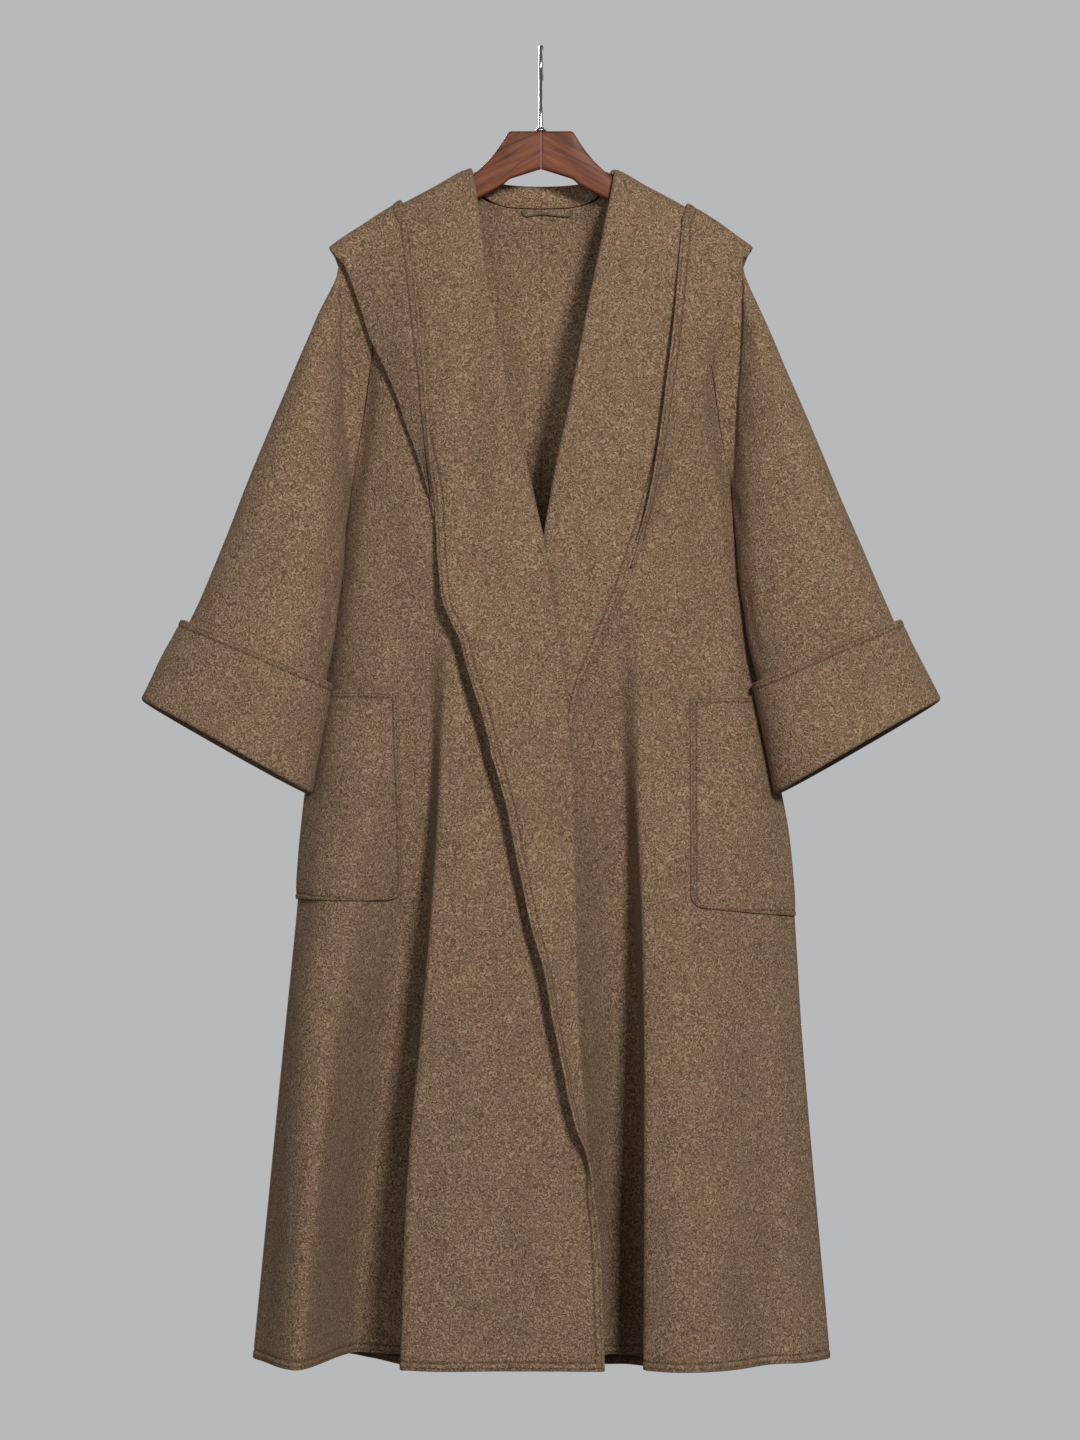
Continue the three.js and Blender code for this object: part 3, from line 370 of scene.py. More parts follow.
def spline(values, places):
    """A smooth curve through values along their first axis, read at places counted in rows."""
    n = len(values)
    places = np.clip(np.asarray(places, float), 0, n - 1)
    i = np.clip(places.astype(int), 0, n - 2)
    t = (places - i).reshape((-1,) + (1,) * (values.ndim - 1))
    before, after = values[np.maximum(i - 1, 0)], values[np.minimum(i + 2, n - 1)]
    start, end = values[i], values[i + 1]
    m0 = (end - before) * np.where(i > 0, 0.5, 1).reshape(t.shape)
    m1 = (after - start) * np.where(i < n - 2, 0.5, 1).reshape(t.shape)
    return hermite(start, end, m0, m1, t)


def lengths(grid, axis):
    """Distance along an axis of a grid of points from its first row."""
    steps = np.linalg.norm(np.diff(grid, axis=axis), axis=-1)
    pad = np.zeros_like(np.take(steps, [0], axis=axis))
    return np.concatenate([pad, np.cumsum(steps, axis=axis)], axis=axis)


def grid_normals(grid, closed):
    ring = np.concatenate([grid[:, -2:], grid, grid[:, :2]], axis=1) if closed else grid
    across = np.gradient(ring, axis=1)
    down = np.gradient(ring, axis=0)
    normal = unit(np.cross(across, down))
    return normal[:, 2:-2] if closed else normal


# How a sewn edge looks across its width: the cloth swells inside a row of stitches and sinks at it.
BAND_SWELL = 0.42
BAND_SINK = 0.70
# The distance of the row of stitches from a finished edge.
BODY_STITCH = 7.5
CUFF_STITCH = 6.5
POCKET_STITCH = 5.0
HOOD_STITCH = 9.0
FAR_FROM_EDGE = 60.0
# How round a border of the cloth is: a finished edge, and one that is held in a seam.
OPEN_RIM = 1.0
SEAM_RIM = 0.22


def edge_profile(distance, stitch):
    """Change of half thickness near a finished edge, the distance and the stitching line in millimetres."""
    band = BAND_SWELL * np.exp(-((distance - stitch * 0.5) / (stitch * 0.36)) ** 2)
    return band - BAND_SINK * np.exp(-((distance - stitch) / 1.3) ** 2)


def shell(node, grid, material, closed=False, edge=None, stitch=BODY_STITCH, rims=(1, 1, 1, 1), seam=None):
    """A thin closed wall of cloth about a grid of points on its middle, with rounded rims.

    rims gives the roundness of the top, bottom, first and last borders, and of a tube's two ends.
    seam marks the rows whose first column lies on the side seam, where the cloth faces straight out.
    edge is the distance of each point from a finished edge, kept on the mesh for the material.
    """
    rows, columns = grid.shape[:2]
    normal = grid_normals(grid, closed)
    if seam is not None:
        normal[seam, 0] = np.where(normal[seam, 0, :1] < 0, -1.0, 1.0) * [1, 0, 0]
    if edge is None:
        edge = np.full((rows, columns), FAR_FROM_EDGE)
    half = CLOTH / 2 + edge_profile(edge, stitch)
    outer = grid + normal * half[..., None]
    inner = grid - normal * half[..., None]
    points = [outer.reshape(-1, 3), inner.reshape(-1, 3)]
    count = rows * columns
    index = np.arange(count).reshape(rows, columns)
    ahead = np.roll(index, -1, axis=1) if closed else index[:, 1:]
    here = index if closed else index[:, :-1]
    corners = [here[:-1], ahead[:-1], ahead[1:], here[1:]]
    top = np.stack(corners, -1).reshape(-1, 4)
    faces = [top, top[:, ::-1] + count]
    if closed:
        borders = [
            (index[0], grid[0] - grid[1], rims[0]),
            (index[-1][::-1], (grid[-1] - grid[-2])[::-1], rims[1]),
        ]
    else:
        order = np.concatenate([index[0, :-1], index[:-1, -1], index[-1, :0:-1], index[:0:-1, 0]])
        away = np.zeros_like(grid)
        away[0] += unit(grid[0] - grid[1]) * rims[0]
        away[-1] += unit(grid[-1] - grid[-2]) * rims[1]
        away[:, 0] += unit(grid[:, 0] - grid[:, 1]) * rims[2]
        away[:, -1] += unit(grid[:, -1] - grid[:, -2]) * rims[3]
        size = np.minimum(np.linalg.norm(away, axis=-1), 1.0)
        borders = [(order, away.reshape(-1, 3)[order], size.reshape(-1)[order])]
    base = 2 * count
    flat_grid, flat_normal, flat_half = grid.reshape(-1, 3), normal.reshape(-1, 3), half.reshape(-1)
    source = [np.arange(count), np.arange(count)]
    for order, away, size in borders:
        at, facing, deep = flat_grid[order], flat_normal[order], flat_half[order]
        direction = unit(away - facing * np.sum(away * facing, -1, keepdims=True))
        rings = [order]
        for degrees in (50, 90, 130):
            turn = math.radians(degrees)
            reach = (deep * np.broadcast_to(size, len(order)) * math.sin(turn))[:, None]
            rise = (deep * math.cos(turn))[:, None]
            points.append(at + direction * reach + facing * rise)
            source.append(order)
            rings.append(np.arange(base, base + len(order)))
            base += len(order)
        rings.append(order + count)
        for ring, after in zip(rings[:-1], rings[1:]):
            faces.append(np.stack([np.roll(ring, -1), ring, after, np.roll(after, -1)], -1))
    points, faces, source = np.concatenate(points), np.concatenate(faces), np.concatenate(source)
    p = points[faces] - points.mean(0)
    volume = np.sum(p[:, 0] * np.cross(p[:, 1], p[:, 2])) + np.sum(p[:, 0] * np.cross(p[:, 2], p[:, 3]))
    if volume < 0:
        faces = faces[:, ::-1]
    across, down = lengths(grid, 1), lengths(grid, 0)
    across = across - across[:, columns // 2, None]
    marks = {"edge": edge, "across": across, "down": down}
    marks = {label: values.reshape(-1)[source] for label, values in marks.items()}
    return mesh_piece(node, "cloth", points, faces, material, marks)


def mesh_piece(node, part, points, faces, material, marks=None):
    """A piece named after the node that it replaces, with marks as attributes of its points."""
    name = f"{node}_{part}"
    mesh = bpy.data.meshes.new(name)
    mesh.vertices.add(len(points))
    mesh.vertices.foreach_set("co", (points * MM).astype(np.float32).ravel())
    mesh.loops.add(faces.size)
    mesh.loops.foreach_set("vertex_index", faces.astype(np.int32).ravel())
    mesh.polygons.add(len(faces))
    mesh.polygons.foreach_set("loop_start", np.arange(0, faces.size, faces.shape[1], dtype=np.int32))
    mesh.update()
    mesh.validate()
    mesh.polygons.foreach_set("use_smooth", np.ones(len(mesh.polygons), bool))
    for label, values in (marks or {}).items():
        attribute = mesh.attributes.new(label, "FLOAT", "POINT")
        attribute.data.foreach_set("value", values.astype(np.float32))
    piece = bpy.data.objects.new(name, mesh)
    scene.collection.objects.link(piece)
    piece.data.materials.append(material)
    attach(piece, "root")
    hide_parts(node)
    return piece


class Surface:
    """A material with short calls for the shader nodes that it needs."""

    def __init__(self, name):
        self.material = bpy.data.materials.new(name)
        self.material.use_nodes = True
        self.nodes = self.material.node_tree.nodes
        self.shader = self.nodes["Principled BSDF"]

    def put(self, socket, value):
        """Gives a socket a constant, or the output of another node."""
        if isinstance(value, bpy.types.NodeSocket):
            self.material.node_tree.links.new(value, socket)
        else:
            socket.default_value = value

    def node(self, kind, output=0, **inputs):
        node = self.nodes.new(f"ShaderNode{kind}")
        for name, value in inputs.items():
            self.put(node.inputs[name], value)
        return node.outputs[output]

    def math(self, operation, *values, clamp=False):
        node = self.nodes.new("ShaderNodeMath")
        node.operation = operation
        node.use_clamp = clamp
        for socket, value in zip(node.inputs, values):
            self.put(socket, value)
        return node.outputs[0]

    def times(self, value, factor):
        return self.math("MULTIPLY", value, factor)

    def above(self, value, floor, slope):
        """0 up to the floor, then rising by the slope up to 1."""
        return self.math("MULTIPLY", self.math("SUBTRACT", value, floor), slope, clamp=True)

    def band(self, value, middle, half):
        """1 where the value is near the middle, falling to 0 at half away."""
        gap = self.math("ABSOLUTE", self.math("SUBTRACT", value, middle))
        return self.math("SUBTRACT", 1.0, self.math("DIVIDE", gap, half), clamp=True)

    def mix(self, factor, first, second):
        node = self.nodes.new("ShaderNodeMix")
        node.data_type = "RGBA"
        for index, value in ((0, factor), (6, first), (7, second)):
            self.put(node.inputs[index], value)
        return node.outputs[2]

    def noise(self, vector, scale, detail=2.0, roughness=0.5, distortion=0.0):
        return self.node("TexNoise", "Fac", Vector=vector, Scale=scale, Detail=detail, Roughness=roughness,
                         Distortion=distortion)

    def place(self):
        return self.node("TexCoord", "Object")

    def scaled(self, axes, scales):
        """A vector of three values, each made larger by its own scale."""
        return self.node("CombineXYZ", **{name: self.times(value, scale)
                                          for name, value, scale in zip("XYZ", axes, scales)})

    def bumped(self, height, strength, distance):
        normal = self.node("Bump", Height=height, Strength=strength, Distance=distance)
        self.put(self.shader.inputs["Normal"], normal)

    def finish(self, **inputs):
        """Sets the shader's inputs, each named by its label with low lines for spaces."""
        for name, value in inputs.items():
            self.put(self.shader.inputs[name.replace("_", " ")], value)
        return self.material


# Colours of the wool's ground, of its pale and dark strands, and of its two slow tints.
WOOL_MID = (0.190, 0.117, 0.071, 1.0)
WOOL_PALE = (0.520, 0.365, 0.240, 1.0)
WOOL_DARK = (0.036, 0.019, 0.009, 1.0)
WOOL_OLIVE = (0.182, 0.126, 0.066, 1.0)
WOOL_ROSE = (0.208, 0.116, 0.078, 1.0)
STRAND_SCALE = 0.18
STRAND_TURNS = 31.0
SECOND_FIELD = 431.0
# The stitches: their pitch, the half width of their sunk line, and the line close to the edge itself.
STITCH_PITCH = 3.4
STITCH_HALF = 1.7
NEAR_LINE = 1.8
NEAR_HALF = 1.3


def strands(wool, cloth, place):
    """Curled strands as level lines of a slow noise: 1 on a strand and -1 between two."""
    moved = wool.node("Mapping", Vector=cloth, Location=(place, place * 0.7, place * 0.3))
    field = wool.noise(moved, STRAND_SCALE, 1.0, 0.55)
    return wool.math("SINE", wool.times(field, STRAND_TURNS))


def wool_cloth(name, stitch):
    """Felted melange wool: curled pale and dark strands over a brown ground, with stitched edges."""
    wool = Surface(name)
    marks = []
    for label in ("across", "down", "edge"):
        node = wool.nodes.new("ShaderNodeAttribute")
        node.attribute_name = label
        marks.append(node.outputs["Fac"])
    across, down, edge = marks
    cloth = wool.node("Mapping", Vector=wool.place(), Scale=(1 / MM, 1 / MM, 1 / MM))
    # Two fields of strands, one showing where a patchy noise is high and the other where it is low.
    share = wool.above(wool.noise(cloth, 0.11, 1.0), 0.42, 6.0)
    first, second = strands(wool, cloth, 0.0), strands(wool, cloth, SECOND_FIELD)
    curl = wool.math("ADD", first, wool.times(share, wool.math("SUBTRACT", second, first)))
    curl = wool.times(curl, wool.above(wool.noise(cloth, 0.21, 1.0), 0.16, 2.2))
    pale = wool.above(curl, 0.05, 1.4)
    dark = wool.math("MULTIPLY", wool.math("SUBTRACT", -0.05, curl), 1.4, clamp=True)
    hue = wool.above(wool.noise(cloth, 0.040, 2.0, 0.5), 0.40, 5.0)
    ground = wool.mix(0.34, WOOL_MID, wool.mix(hue, WOOL_ROSE, WOOL_OLIVE))
    ground = wool.mix(wool.above(wool.noise(cloth, 0.9, 1.0), 0.52, 2.2), ground, WOOL_PALE)
    ground = wool.mix(wool.times(dark, 0.50), ground, WOOL_DARK)
    ground = wool.mix(wool.times(pale, 0.46), ground, WOOL_PALE)
    cloud = wool.math("MULTIPLY_ADD", wool.noise(cloth, 0.018, 3.0, 0.6), 0.34, 0.83)
    shade = wool.nodes.new("ShaderNodeVectorMath")
    shade.operation = "SCALE"
    wool.put(shade.inputs[0], ground)
    wool.put(shade.inputs["Scale"], cloud)
    # The row of stitches: small dark pricks along a sunk line, and a fainter row close to the edge itself.
    prick = wool.math("SINE", wool.times(wool.math("ADD", across, down), 2 * math.pi / STITCH_PITCH))
    prick = wool.math("MULTIPLY_ADD", prick, 0.28, 0.62)
    line = wool.band(edge, stitch, STITCH_HALF)
    near = wool.times(wool.band(edge, NEAR_LINE, NEAR_HALF), 0.85)
    sewn = wool.math("MULTIPLY", wool.math("MAXIMUM", line, near), prick, clamp=True)
    nap = wool.times(wool.noise(cloth, 0.42, 4.0, 0.62), 0.45)
    height = wool.math("ADD", wool.times(curl, 0.45), nap)
    wool.bumped(wool.math("SUBTRACT", height, wool.times(sewn, 0.9)), 0.75, 0.0007)
    colour = wool.mix(wool.times(sewn, 0.86), shade.outputs[0], WOOL_DARK)
    return wool.finish(Base_Color=colour, Roughness=0.96, Specular_IOR_Level=0.10, Sheen_Weight=0.12,
                       Sheen_Roughness=0.55, Sheen_Tint=(0.80, 0.62, 0.46, 1.0))


# Rows of the body: along the ridge first, then as shares of the way to the underarm, then at levels down
# to the hem.
RIDGE_ALONGS = [0.3, 1.6, 3.1, 4.7, 6.4, 8.2, 10.2, 12.1, RIDGE_BAND]
ARM_STEPS = 84
LEVEL_STEP = 4.2
HEM_ZONE = 18
HEM_STEP = 1.5
ARM_SHARES = np.arange(1, ARM_STEPS + 1) / ARM_STEPS
LEVELS = np.concatenate([
    np.arange(UNDERARM_Z - LEVEL_STEP, HEM_Z + HEM_ZONE, -LEVEL_STEP),
    np.arange(HEM_Z + HEM_ZONE, HEM_Z - 0.1, -HEM_STEP),
])
ROW_VALUE = np.concatenate([RIDGE_ALONGS, ARM_SHARES, LEVELS])
ROW_KIND = np.repeat([0, 1, 2], [len(RIDGE_ALONGS), len(ARM_SHARES), len(LEVELS)])
ROWS = np.arange(len(ROW_VALUE))
SKIRT = ROW_KIND == 2


def row_along(out, row):
    """Along of a front's row where it crosses an out."""
    kind, value = ROW_KIND[row], ROW_VALUE[row]
    arm = mix(RIDGE_BAND, along_at(out, UNDERARM_Z), np.where(kind == 1, value, 0))
    skirt = along_at(out, np.where(kind == 2, value, UNDERARM_Z))
    return np.where(kind == 0, value, np.where(kind == 1, arm, skirt))


def height_of(out, along):
    bent = np.minimum(along, RIDGE_QUARTER) / RIDGE_RADIUS
    return ridge_z(out) - RIDGE_RADIUS * (1 - np.cos(bent)) - np.maximum(0, along - RIDGE_QUARTER)


def line_on_rows(table):
    """Where a line in a table crosses each row."""
    out = np.full(len(ROWS), float(NECK_OUT))
    for _ in range(18):
        out = mix(out, look(table, 1, height_of(out, row_along(out, ROWS))), 0.8)
    return out


SEAM_INSET = 0.03


def side_on_rows(side):
    """Where the armhole, and the side seam under it, cross each row."""
    out = np.full(len(ROWS), 190.0)
    for _ in range(14):
        out = look(ARMHOLE, 1, height_of(out, row_along(out, ROWS)))
    out = np.minimum(out, width_at(side, height_of(out, row_along(out, ROWS))) - SEAM_INSET)
    return np.where(SKIRT, width_at(side, np.where(SKIRT, ROW_VALUE, UNDERARM_Z)) - SEAM_INSET, out)


def even_columns(side, start, end, sense, count, fine=240, along_of=row_along):
    """Outs between two lines, an even distance apart along the cloth."""
    t = np.linspace(0, 1, fine)
    out = mix(start[:, None], end[:, None], t)
    points = body_middle(side, out, sense * along_of(out, ROWS[:, None]))
    arc = lengths(points, 1)
    return np.stack([np.interp(np.linspace(0, a[-1], count), a, o) for a, o in zip(arc, out)])


def lapel_layer(along):
    """How far outside the body's cloth the turned lapel lies."""
    return mix(3.4, 6.4, smooth(0, 60, along))


BODY_COLUMNS = 98
TURN_STEPS = 10
LAPEL_SHARES = np.concatenate([np.linspace(0, 0.86, 21)[1:], np.linspace(0.86, 1, 10)[1:]])
FLAT_RUN = 3.6
# The direction in which the lapel stands off is worked out over this length, so that no crease tilts it.
LAPEL_CALM = 14
SIDE_GAP = 0.45


def front_grid(side):
    edge, roll = side_on_rows(side), line_on_rows(side["roll"])
    outs = even_columns(side, edge, roll, 1, BODY_COLUMNS)
    row = ROWS[:, None]
    body = body_middle(side, outs, row_along(outs, row))
    along = row_along(roll, ROWS)
    z = height_of(roll, along)
    turn = (look(side["roll"], 2, z) * math.pi)[:, None]
    radius = (lapel_layer(along) / 2)[:, None]
    width = np.abs(line_on_rows(side["edge"]) - roll)[:, None]
    flat = FLAT_RUN * (1 - smooth(0, 0.9, turn))
    share = np.arange(1, TURN_STEPS + 1) / TURN_STEPS
    phi = turn * share
    out = roll[:, None] - radius * np.sin(phi) - flat * share
    turned = layer(side, out, row_along(out, row), radius * (1 - np.cos(phi)))
    start = roll[:, None] - radius * np.sin(turn) - flat
    ripple = 1.2 * (1 + np.sin(z / 63 + side["sign"])) * smooth(-500, -560, z)
    lift = ((look(side["roll"], 3, z) + ripple) * smooth(-1150, -1060, z))[:, None]
    run = width * LAPEL_SHARES
    out = start - run * np.cos(turn)
    rise = radius * (1 - np.cos(turn)) + run * np.sin(turn) + lift * LAPEL_SHARES ** 2
    lapel = layer(side, out, row_along(out, row), rise, LAPEL_CALM)
    return np.concatenate([body, turned, lapel], axis=1)


def pin_side(side, grid, sense):
    """Puts the first column on the side seam below the armhole."""
    z = grid[SKIRT, 0, 2]
    grid[SKIRT, 0] = np.stack([side["sign"] * width_at(side, z), np.full(len(z), sense * SIDE_GAP), z], -1)


def front(name, side, material):
    grid = front_grid(side)
    pin_side(side, grid, -1)
    across, down = lengths(grid, 1), lengths(grid, 0)
    edge = np.minimum(across[:, -1:] - across, down[-1:] - down)
    rims = (SEAM_RIM, OPEN_RIM, SEAM_RIM, OPEN_RIM)
    return shell(f"front_{name}", grid, material, edge=edge, rims=rims, seam=SKIRT)


NECKLINE = [[0, -155.5], [20, -155], [34, -154], [50, -150.5], [60, -146], [66, -136], [68, -126.5]]
NECK_POINT = 70
NECK_COLUMNS = 26
BACK_COLUMNS = 60


def back_top(out):
    """Along of the back's upper border: the neckline near the middle, and the ridge further out."""
    neckline = along_at(out, look(NECKLINE, 1, np.minimum(out, NECKLINE[-1][0])))
    return np.where(out >= NECK_POINT - 1, RIDGE_ALONGS[0], neckline)


def back_row(out, row):
    """Along of a back's row where it crosses an out, with the hem lower at the middle."""
    kind, value = ROW_KIND[row], ROW_VALUE[row]
    first = back_top(out)
    arm = mix(first + RIDGE_BAND, along_at(out, UNDERARM_Z), np.where(kind == 1, value, 0))
    level = np.where(kind == 2, value, UNDERARM_Z)
    level = level - BACK_HEM_DROP * (1 - (out / 283) ** 2) * smooth(-1180, HEM_Z, level)
    lower = np.where(kind == 1, arm, along_at(out, level))
    return np.where(kind == 0, first + value - RIDGE_ALONGS[0], lower)


def back(name, side, material):
    edge = side_on_rows(side)
    start = np.full(len(ROWS), float(NECK_POINT))
    far = even_columns(side, edge, start, -1, BACK_COLUMNS, along_of=back_row)
    near = np.broadcast_to(np.linspace(68, 0.2, NECK_COLUMNS), (len(ROWS), NECK_COLUMNS))
    outs = np.concatenate([far, near], axis=1)
    grid = body_middle(side, outs, -back_row(outs, ROWS[:, None]))
    pin_side(side, grid, 1)
    down = lengths(grid, 0)
    rims = (SEAM_RIM, OPEN_RIM, SEAM_RIM, SEAM_RIM)
    return shell(f"back_{name}", grid, material, edge=down[-1:] - down, rims=rims, seam=SKIRT)


# Rings of a sleeve: outer out, outer z, inner out, inner z, half depth, how far forward its middle hangs.
SLEEVE_RINGS = [
    [0, 0, 0, 0, 0, 0],
    [201, -217, 191.5, -442, 11, 2],
    [205.5, -234, 193, -458, 18, 7],
    [221, -268, 195.5, -484, 28, 14],
    [246, -328, 198, -525, 38, 19],
    [278, -404, 202, -556, 43, 23],
    [311, -484, 207, -598, 45, 28],
    [350, -575, 214.5, -634, 46, 31],
    [370, -612, 224, -684, 46, 32],
    [390, -650, 233, -739, 46, 33],
]
LEFT_CUFF_SHIFT = 4
RING_POINTS = 16
RING_TILT = 4.5
AROUND = 104
WRIST = 9
CUFF_TOP = 7
CUFF_SEAM = 8.7
CUFF_TURN = 2.7
# Creases of a sleeve.
# Columns: place round the sleeve and ring at the start, at the middle and at the end, half width, height.
# A place of 0 is the outer side, 25 the front, 50 the inner side and 75 the back.
SLEEVE_CREASES = [
    [48, 0.8, 42, 2.4, 34, 4.6, 3.0, -2.6],
    [45, 0.9, 38, 3.0, 30, 6.0, 3.0, 1.8],
    [12, 1.6, 14, 4.2, 16, 6.9, 4.0, 1.8],
    [42, 4.2, 43, 5.8, 40, 7.4, 2.6, -2.2],
    [22, 3.0, 24, 5.0, 27, 6.8, 4.0, -1.8],
    [56, 0.9, 62, 2.6, 68, 4.8, 3.0, -2.4],
    [80, 1.8, 78, 4.2, 80, 6.8, 4.0, 2.0],
]
RING_STEP = 56
PLACE_STEP = 3.1
LEFT_CREASE_SHARE = 0.85
PLACES = (np.arange(AROUND) + 0.5) / AROUND


def armhole_points(side, angle):
    """The sleeve's first ring, a seam's gap outside the body's armhole."""
    f = (1 - np.cos(angle)) / 2
    z = mix(SHOULDER_Z, UNDERARM_Z - 5, f)
    gap = ARMHOLE_GAP * mix(1, 0.6, smooth(0.6, 0.95, f))
    out = np.minimum(look(ARMHOLE, 1, z), width_at(side, z) - 0.1)
    along = along_at(out, np.minimum(z, ridge_z(out) - 0.4))
    p = body_middle(side, out, np.where(np.sin(angle) >= 0, 1, -1) * along)
    p[:, 0] += side["sign"] * gap
    p[f > 0.98] = [side["sign"] * (UNDERARM_OUT + ARMHOLE_GAP), 0, UNDERARM_Z - 6]
    p[f < 0.02] = [side["sign"] * (SHOULDER_OUT + ARMHOLE_GAP), 0, float(ridge_z(SHOULDER_OUT - 1)) - 3.6]
    return p


def sleeve_rings(side):
    """Rings of points round the sleeve, made at its sixteen set places and then filled in."""
    angle = 2 * math.pi * (np.arange(RING_POINTS) + 0.5) / RING_POINTS
    c, s = np.cos(angle), np.sin(angle)
    along, deep = np.sign(c) * np.abs(c) ** 0.86, np.sign(s) * np.abs(s) ** 0.86
    rings = [armhole_points(side, angle)]
    for k, (outer_out, outer_z, inner_out, inner_z, half, forward) in enumerate(SLEEVE_RINGS[1:], 1):
        shift = LEFT_CUFF_SHIFT * smooth(5, 8, k) * (1 - along) / 2 if side["sign"] > 0 else 0
        out = (outer_out + inner_out) / 2 + (outer_out - inner_out) / 2 * along + shift
        z = (outer_z + inner_z) / 2 + (outer_z - inner_z) / 2 * along + RING_TILT * deep * smooth(4, 9, k)
        rings.append(np.stack([side["sign"] * out, -half * deep - forward, z], -1))
    rings = np.stack(rings)
    wrapped = np.concatenate([rings[:, -3:], rings, rings[:, :3]], axis=1)
    places = PLACES * RING_POINTS - 0.5 + 3
    return np.swapaxes(spline(np.swapaxes(wrapped, 0, 1), places), 0, 1)


def tube_normals(rings, stops):
    ahead, behind = spline(rings, stops + 0.02), spline(rings, stops - 0.02)
    here = spline(rings, stops)
    around = np.roll(here, -1, axis=1) - np.roll(here, 1, axis=1)
    down = np.where((stops < 0.02)[:, None, None], ahead - here, ahead - behind)
    normal = unit(np.cross(around, down))
    middle = here.mean(axis=1, keepdims=True)
    return normal * np.sign(np.sum(normal * (here - middle)))


def sleeve_relief(side, stops):
    place, ring = np.meshgrid(PLACES * 100, stops)
    share = 1 if side["sign"] < 0 else LEFT_CREASE_SHARE
    creases = np.array(SLEEVE_CREASES) * ([PLACE_STEP, RING_STEP] * 3 + [PLACE_STEP, share])
    total = crease_height(creases, place * PLACE_STEP, ring * RING_STEP)
    turn = place / 100 * 2 * math.pi
    slow = unevenness(120 * np.cos(turn), ring * RING_STEP + 60 * np.sin(turn), 4 + side["sign"])
    return (total + 1.3 * slow) * smooth(0, 1.2, ring)


def sleeve(name, side, material):
    rings = sleeve_rings(side)
    stops = np.linspace(0.001, CUFF_SEAM - 0.012, 118)
    fade = 1 - smooth(6.6, 7.4, stops)[:, None]
    grid = spline(rings, stops) + tube_normals(rings, stops) * (sleeve_relief(side, stops) * fade)[..., None]
    return shell(f"sleeve_{name}", grid, material, closed=True, rims=(SEAM_RIM, SEAM_RIM))


def cuff(name, side, material):
    rings = sleeve_rings(side)
    inside = np.linspace(CUFF_SEAM, WRIST, 5)
    upper = CUFF_TOP + 0.2
    back_up = np.concatenate([np.linspace(WRIST, upper, 34)[1:], np.linspace(upper, CUFF_TOP, 9)[1:]])
    turns = np.linspace(0, math.pi, 15)[1:-1]
    stops = np.concatenate([inside, np.full(len(turns), float(WRIST)), back_up])
    phi = np.concatenate([np.zeros(len(inside)), turns, np.full(len(back_up), math.pi)])
    base, normal = spline(rings, stops), tube_normals(rings, stops)
    end = unit(spline(rings, np.array([float(WRIST)])) - spline(rings, np.array([WRIST - 0.2])))
    back_share = smooth(0, 1, (WRIST - stops) / (WRIST - CUFF_TOP)) * (phi >= math.pi)
    place = PLACES * 2 * math.pi
    wave = 1.4 + 0.8 * np.sin(2 * place + 1.1 + side["sign"]) + 0.5 * np.sin(5 * place + 0.6)
    wave = wave * back_share[:, None]
    slow = unevenness(130 * np.cos(place), stops[:, None] * RING_STEP + 70 * np.sin(place), 9 + side["sign"])
    bulge = 1.1 * slow * (back_share * (1 - back_share) * 4)[:, None]
    off = CUFF_TURN * (1 - np.cos(phi))[:, None] + wave + bulge
    grid = base + normal * off[..., None] + end * (CUFF_TURN * np.sin(phi))[:, None, None]
    down = lengths(grid, 0)
    return shell(f"cuff_{name}", grid, material, closed=True, edge=down[-1:] - down, stitch=CUFF_STITCH,
                 rims=(SEAM_RIM, OPEN_RIM))


POCKETS = {
    "right": {"top": -643, "bottom": -848, "inner": 143, "fall": 0},
    "left": {"top": -648, "bottom": -856, "inner": 148, "fall": 9},
}
POCKET_CORNER = 15
POCKET_OFF = 2.6
POCKET_GAPE = 2.0
POCKET_PUFF = 2.2


def pocket(name, side, material):
    size = POCKETS[name]
    f = np.concatenate([np.linspace(0, 0.92, 56), np.linspace(0.92, 1, 16)[1:]])[:, None]
    g = np.concatenate([np.linspace(0, 0.12, 12), np.linspace(0.12, 0.995, 46)[1:]])[None]
    level = mix(size["top"], size["bottom"], f)
    lift = np.maximum(0, POCKET_CORNER - (level - size["bottom"]))
    corner = POCKET_CORNER - np.sqrt(np.maximum(0, POCKET_CORNER ** 2 - lift ** 2))
    out = mix(size["inner"] + corner, width_at(side, level) - 0.2, g)
    z = level - size["fall"] * f * g
    within = smooth(0, 0.12, g) * smooth(1, 0.9, f)
    puff = POCKET_PUFF * np.sin(math.pi * np.minimum(1, g * 1.06)) * (1 - f * f)
    gape = POCKET_GAPE * (1 - f) ** 5 * np.sin(math.pi * np.minimum(1, g + 0.08))
    off = POCKET_OFF + within * (0.8 + np.maximum(0, puff)) + gape
    grid = layer(side, out, along_at(out, z), off)
    across, down = lengths(grid, 1), lengths(grid, 0)
    edge = np.minimum(np.minimum(across, down), down[-1:] - down)
    rims = (OPEN_RIM, 0.8, 0.8, SEAM_RIM)
    return shell(f"pocket_{name}", grid, material, edge=edge, stitch=POCKET_STITCH, rims=rims)


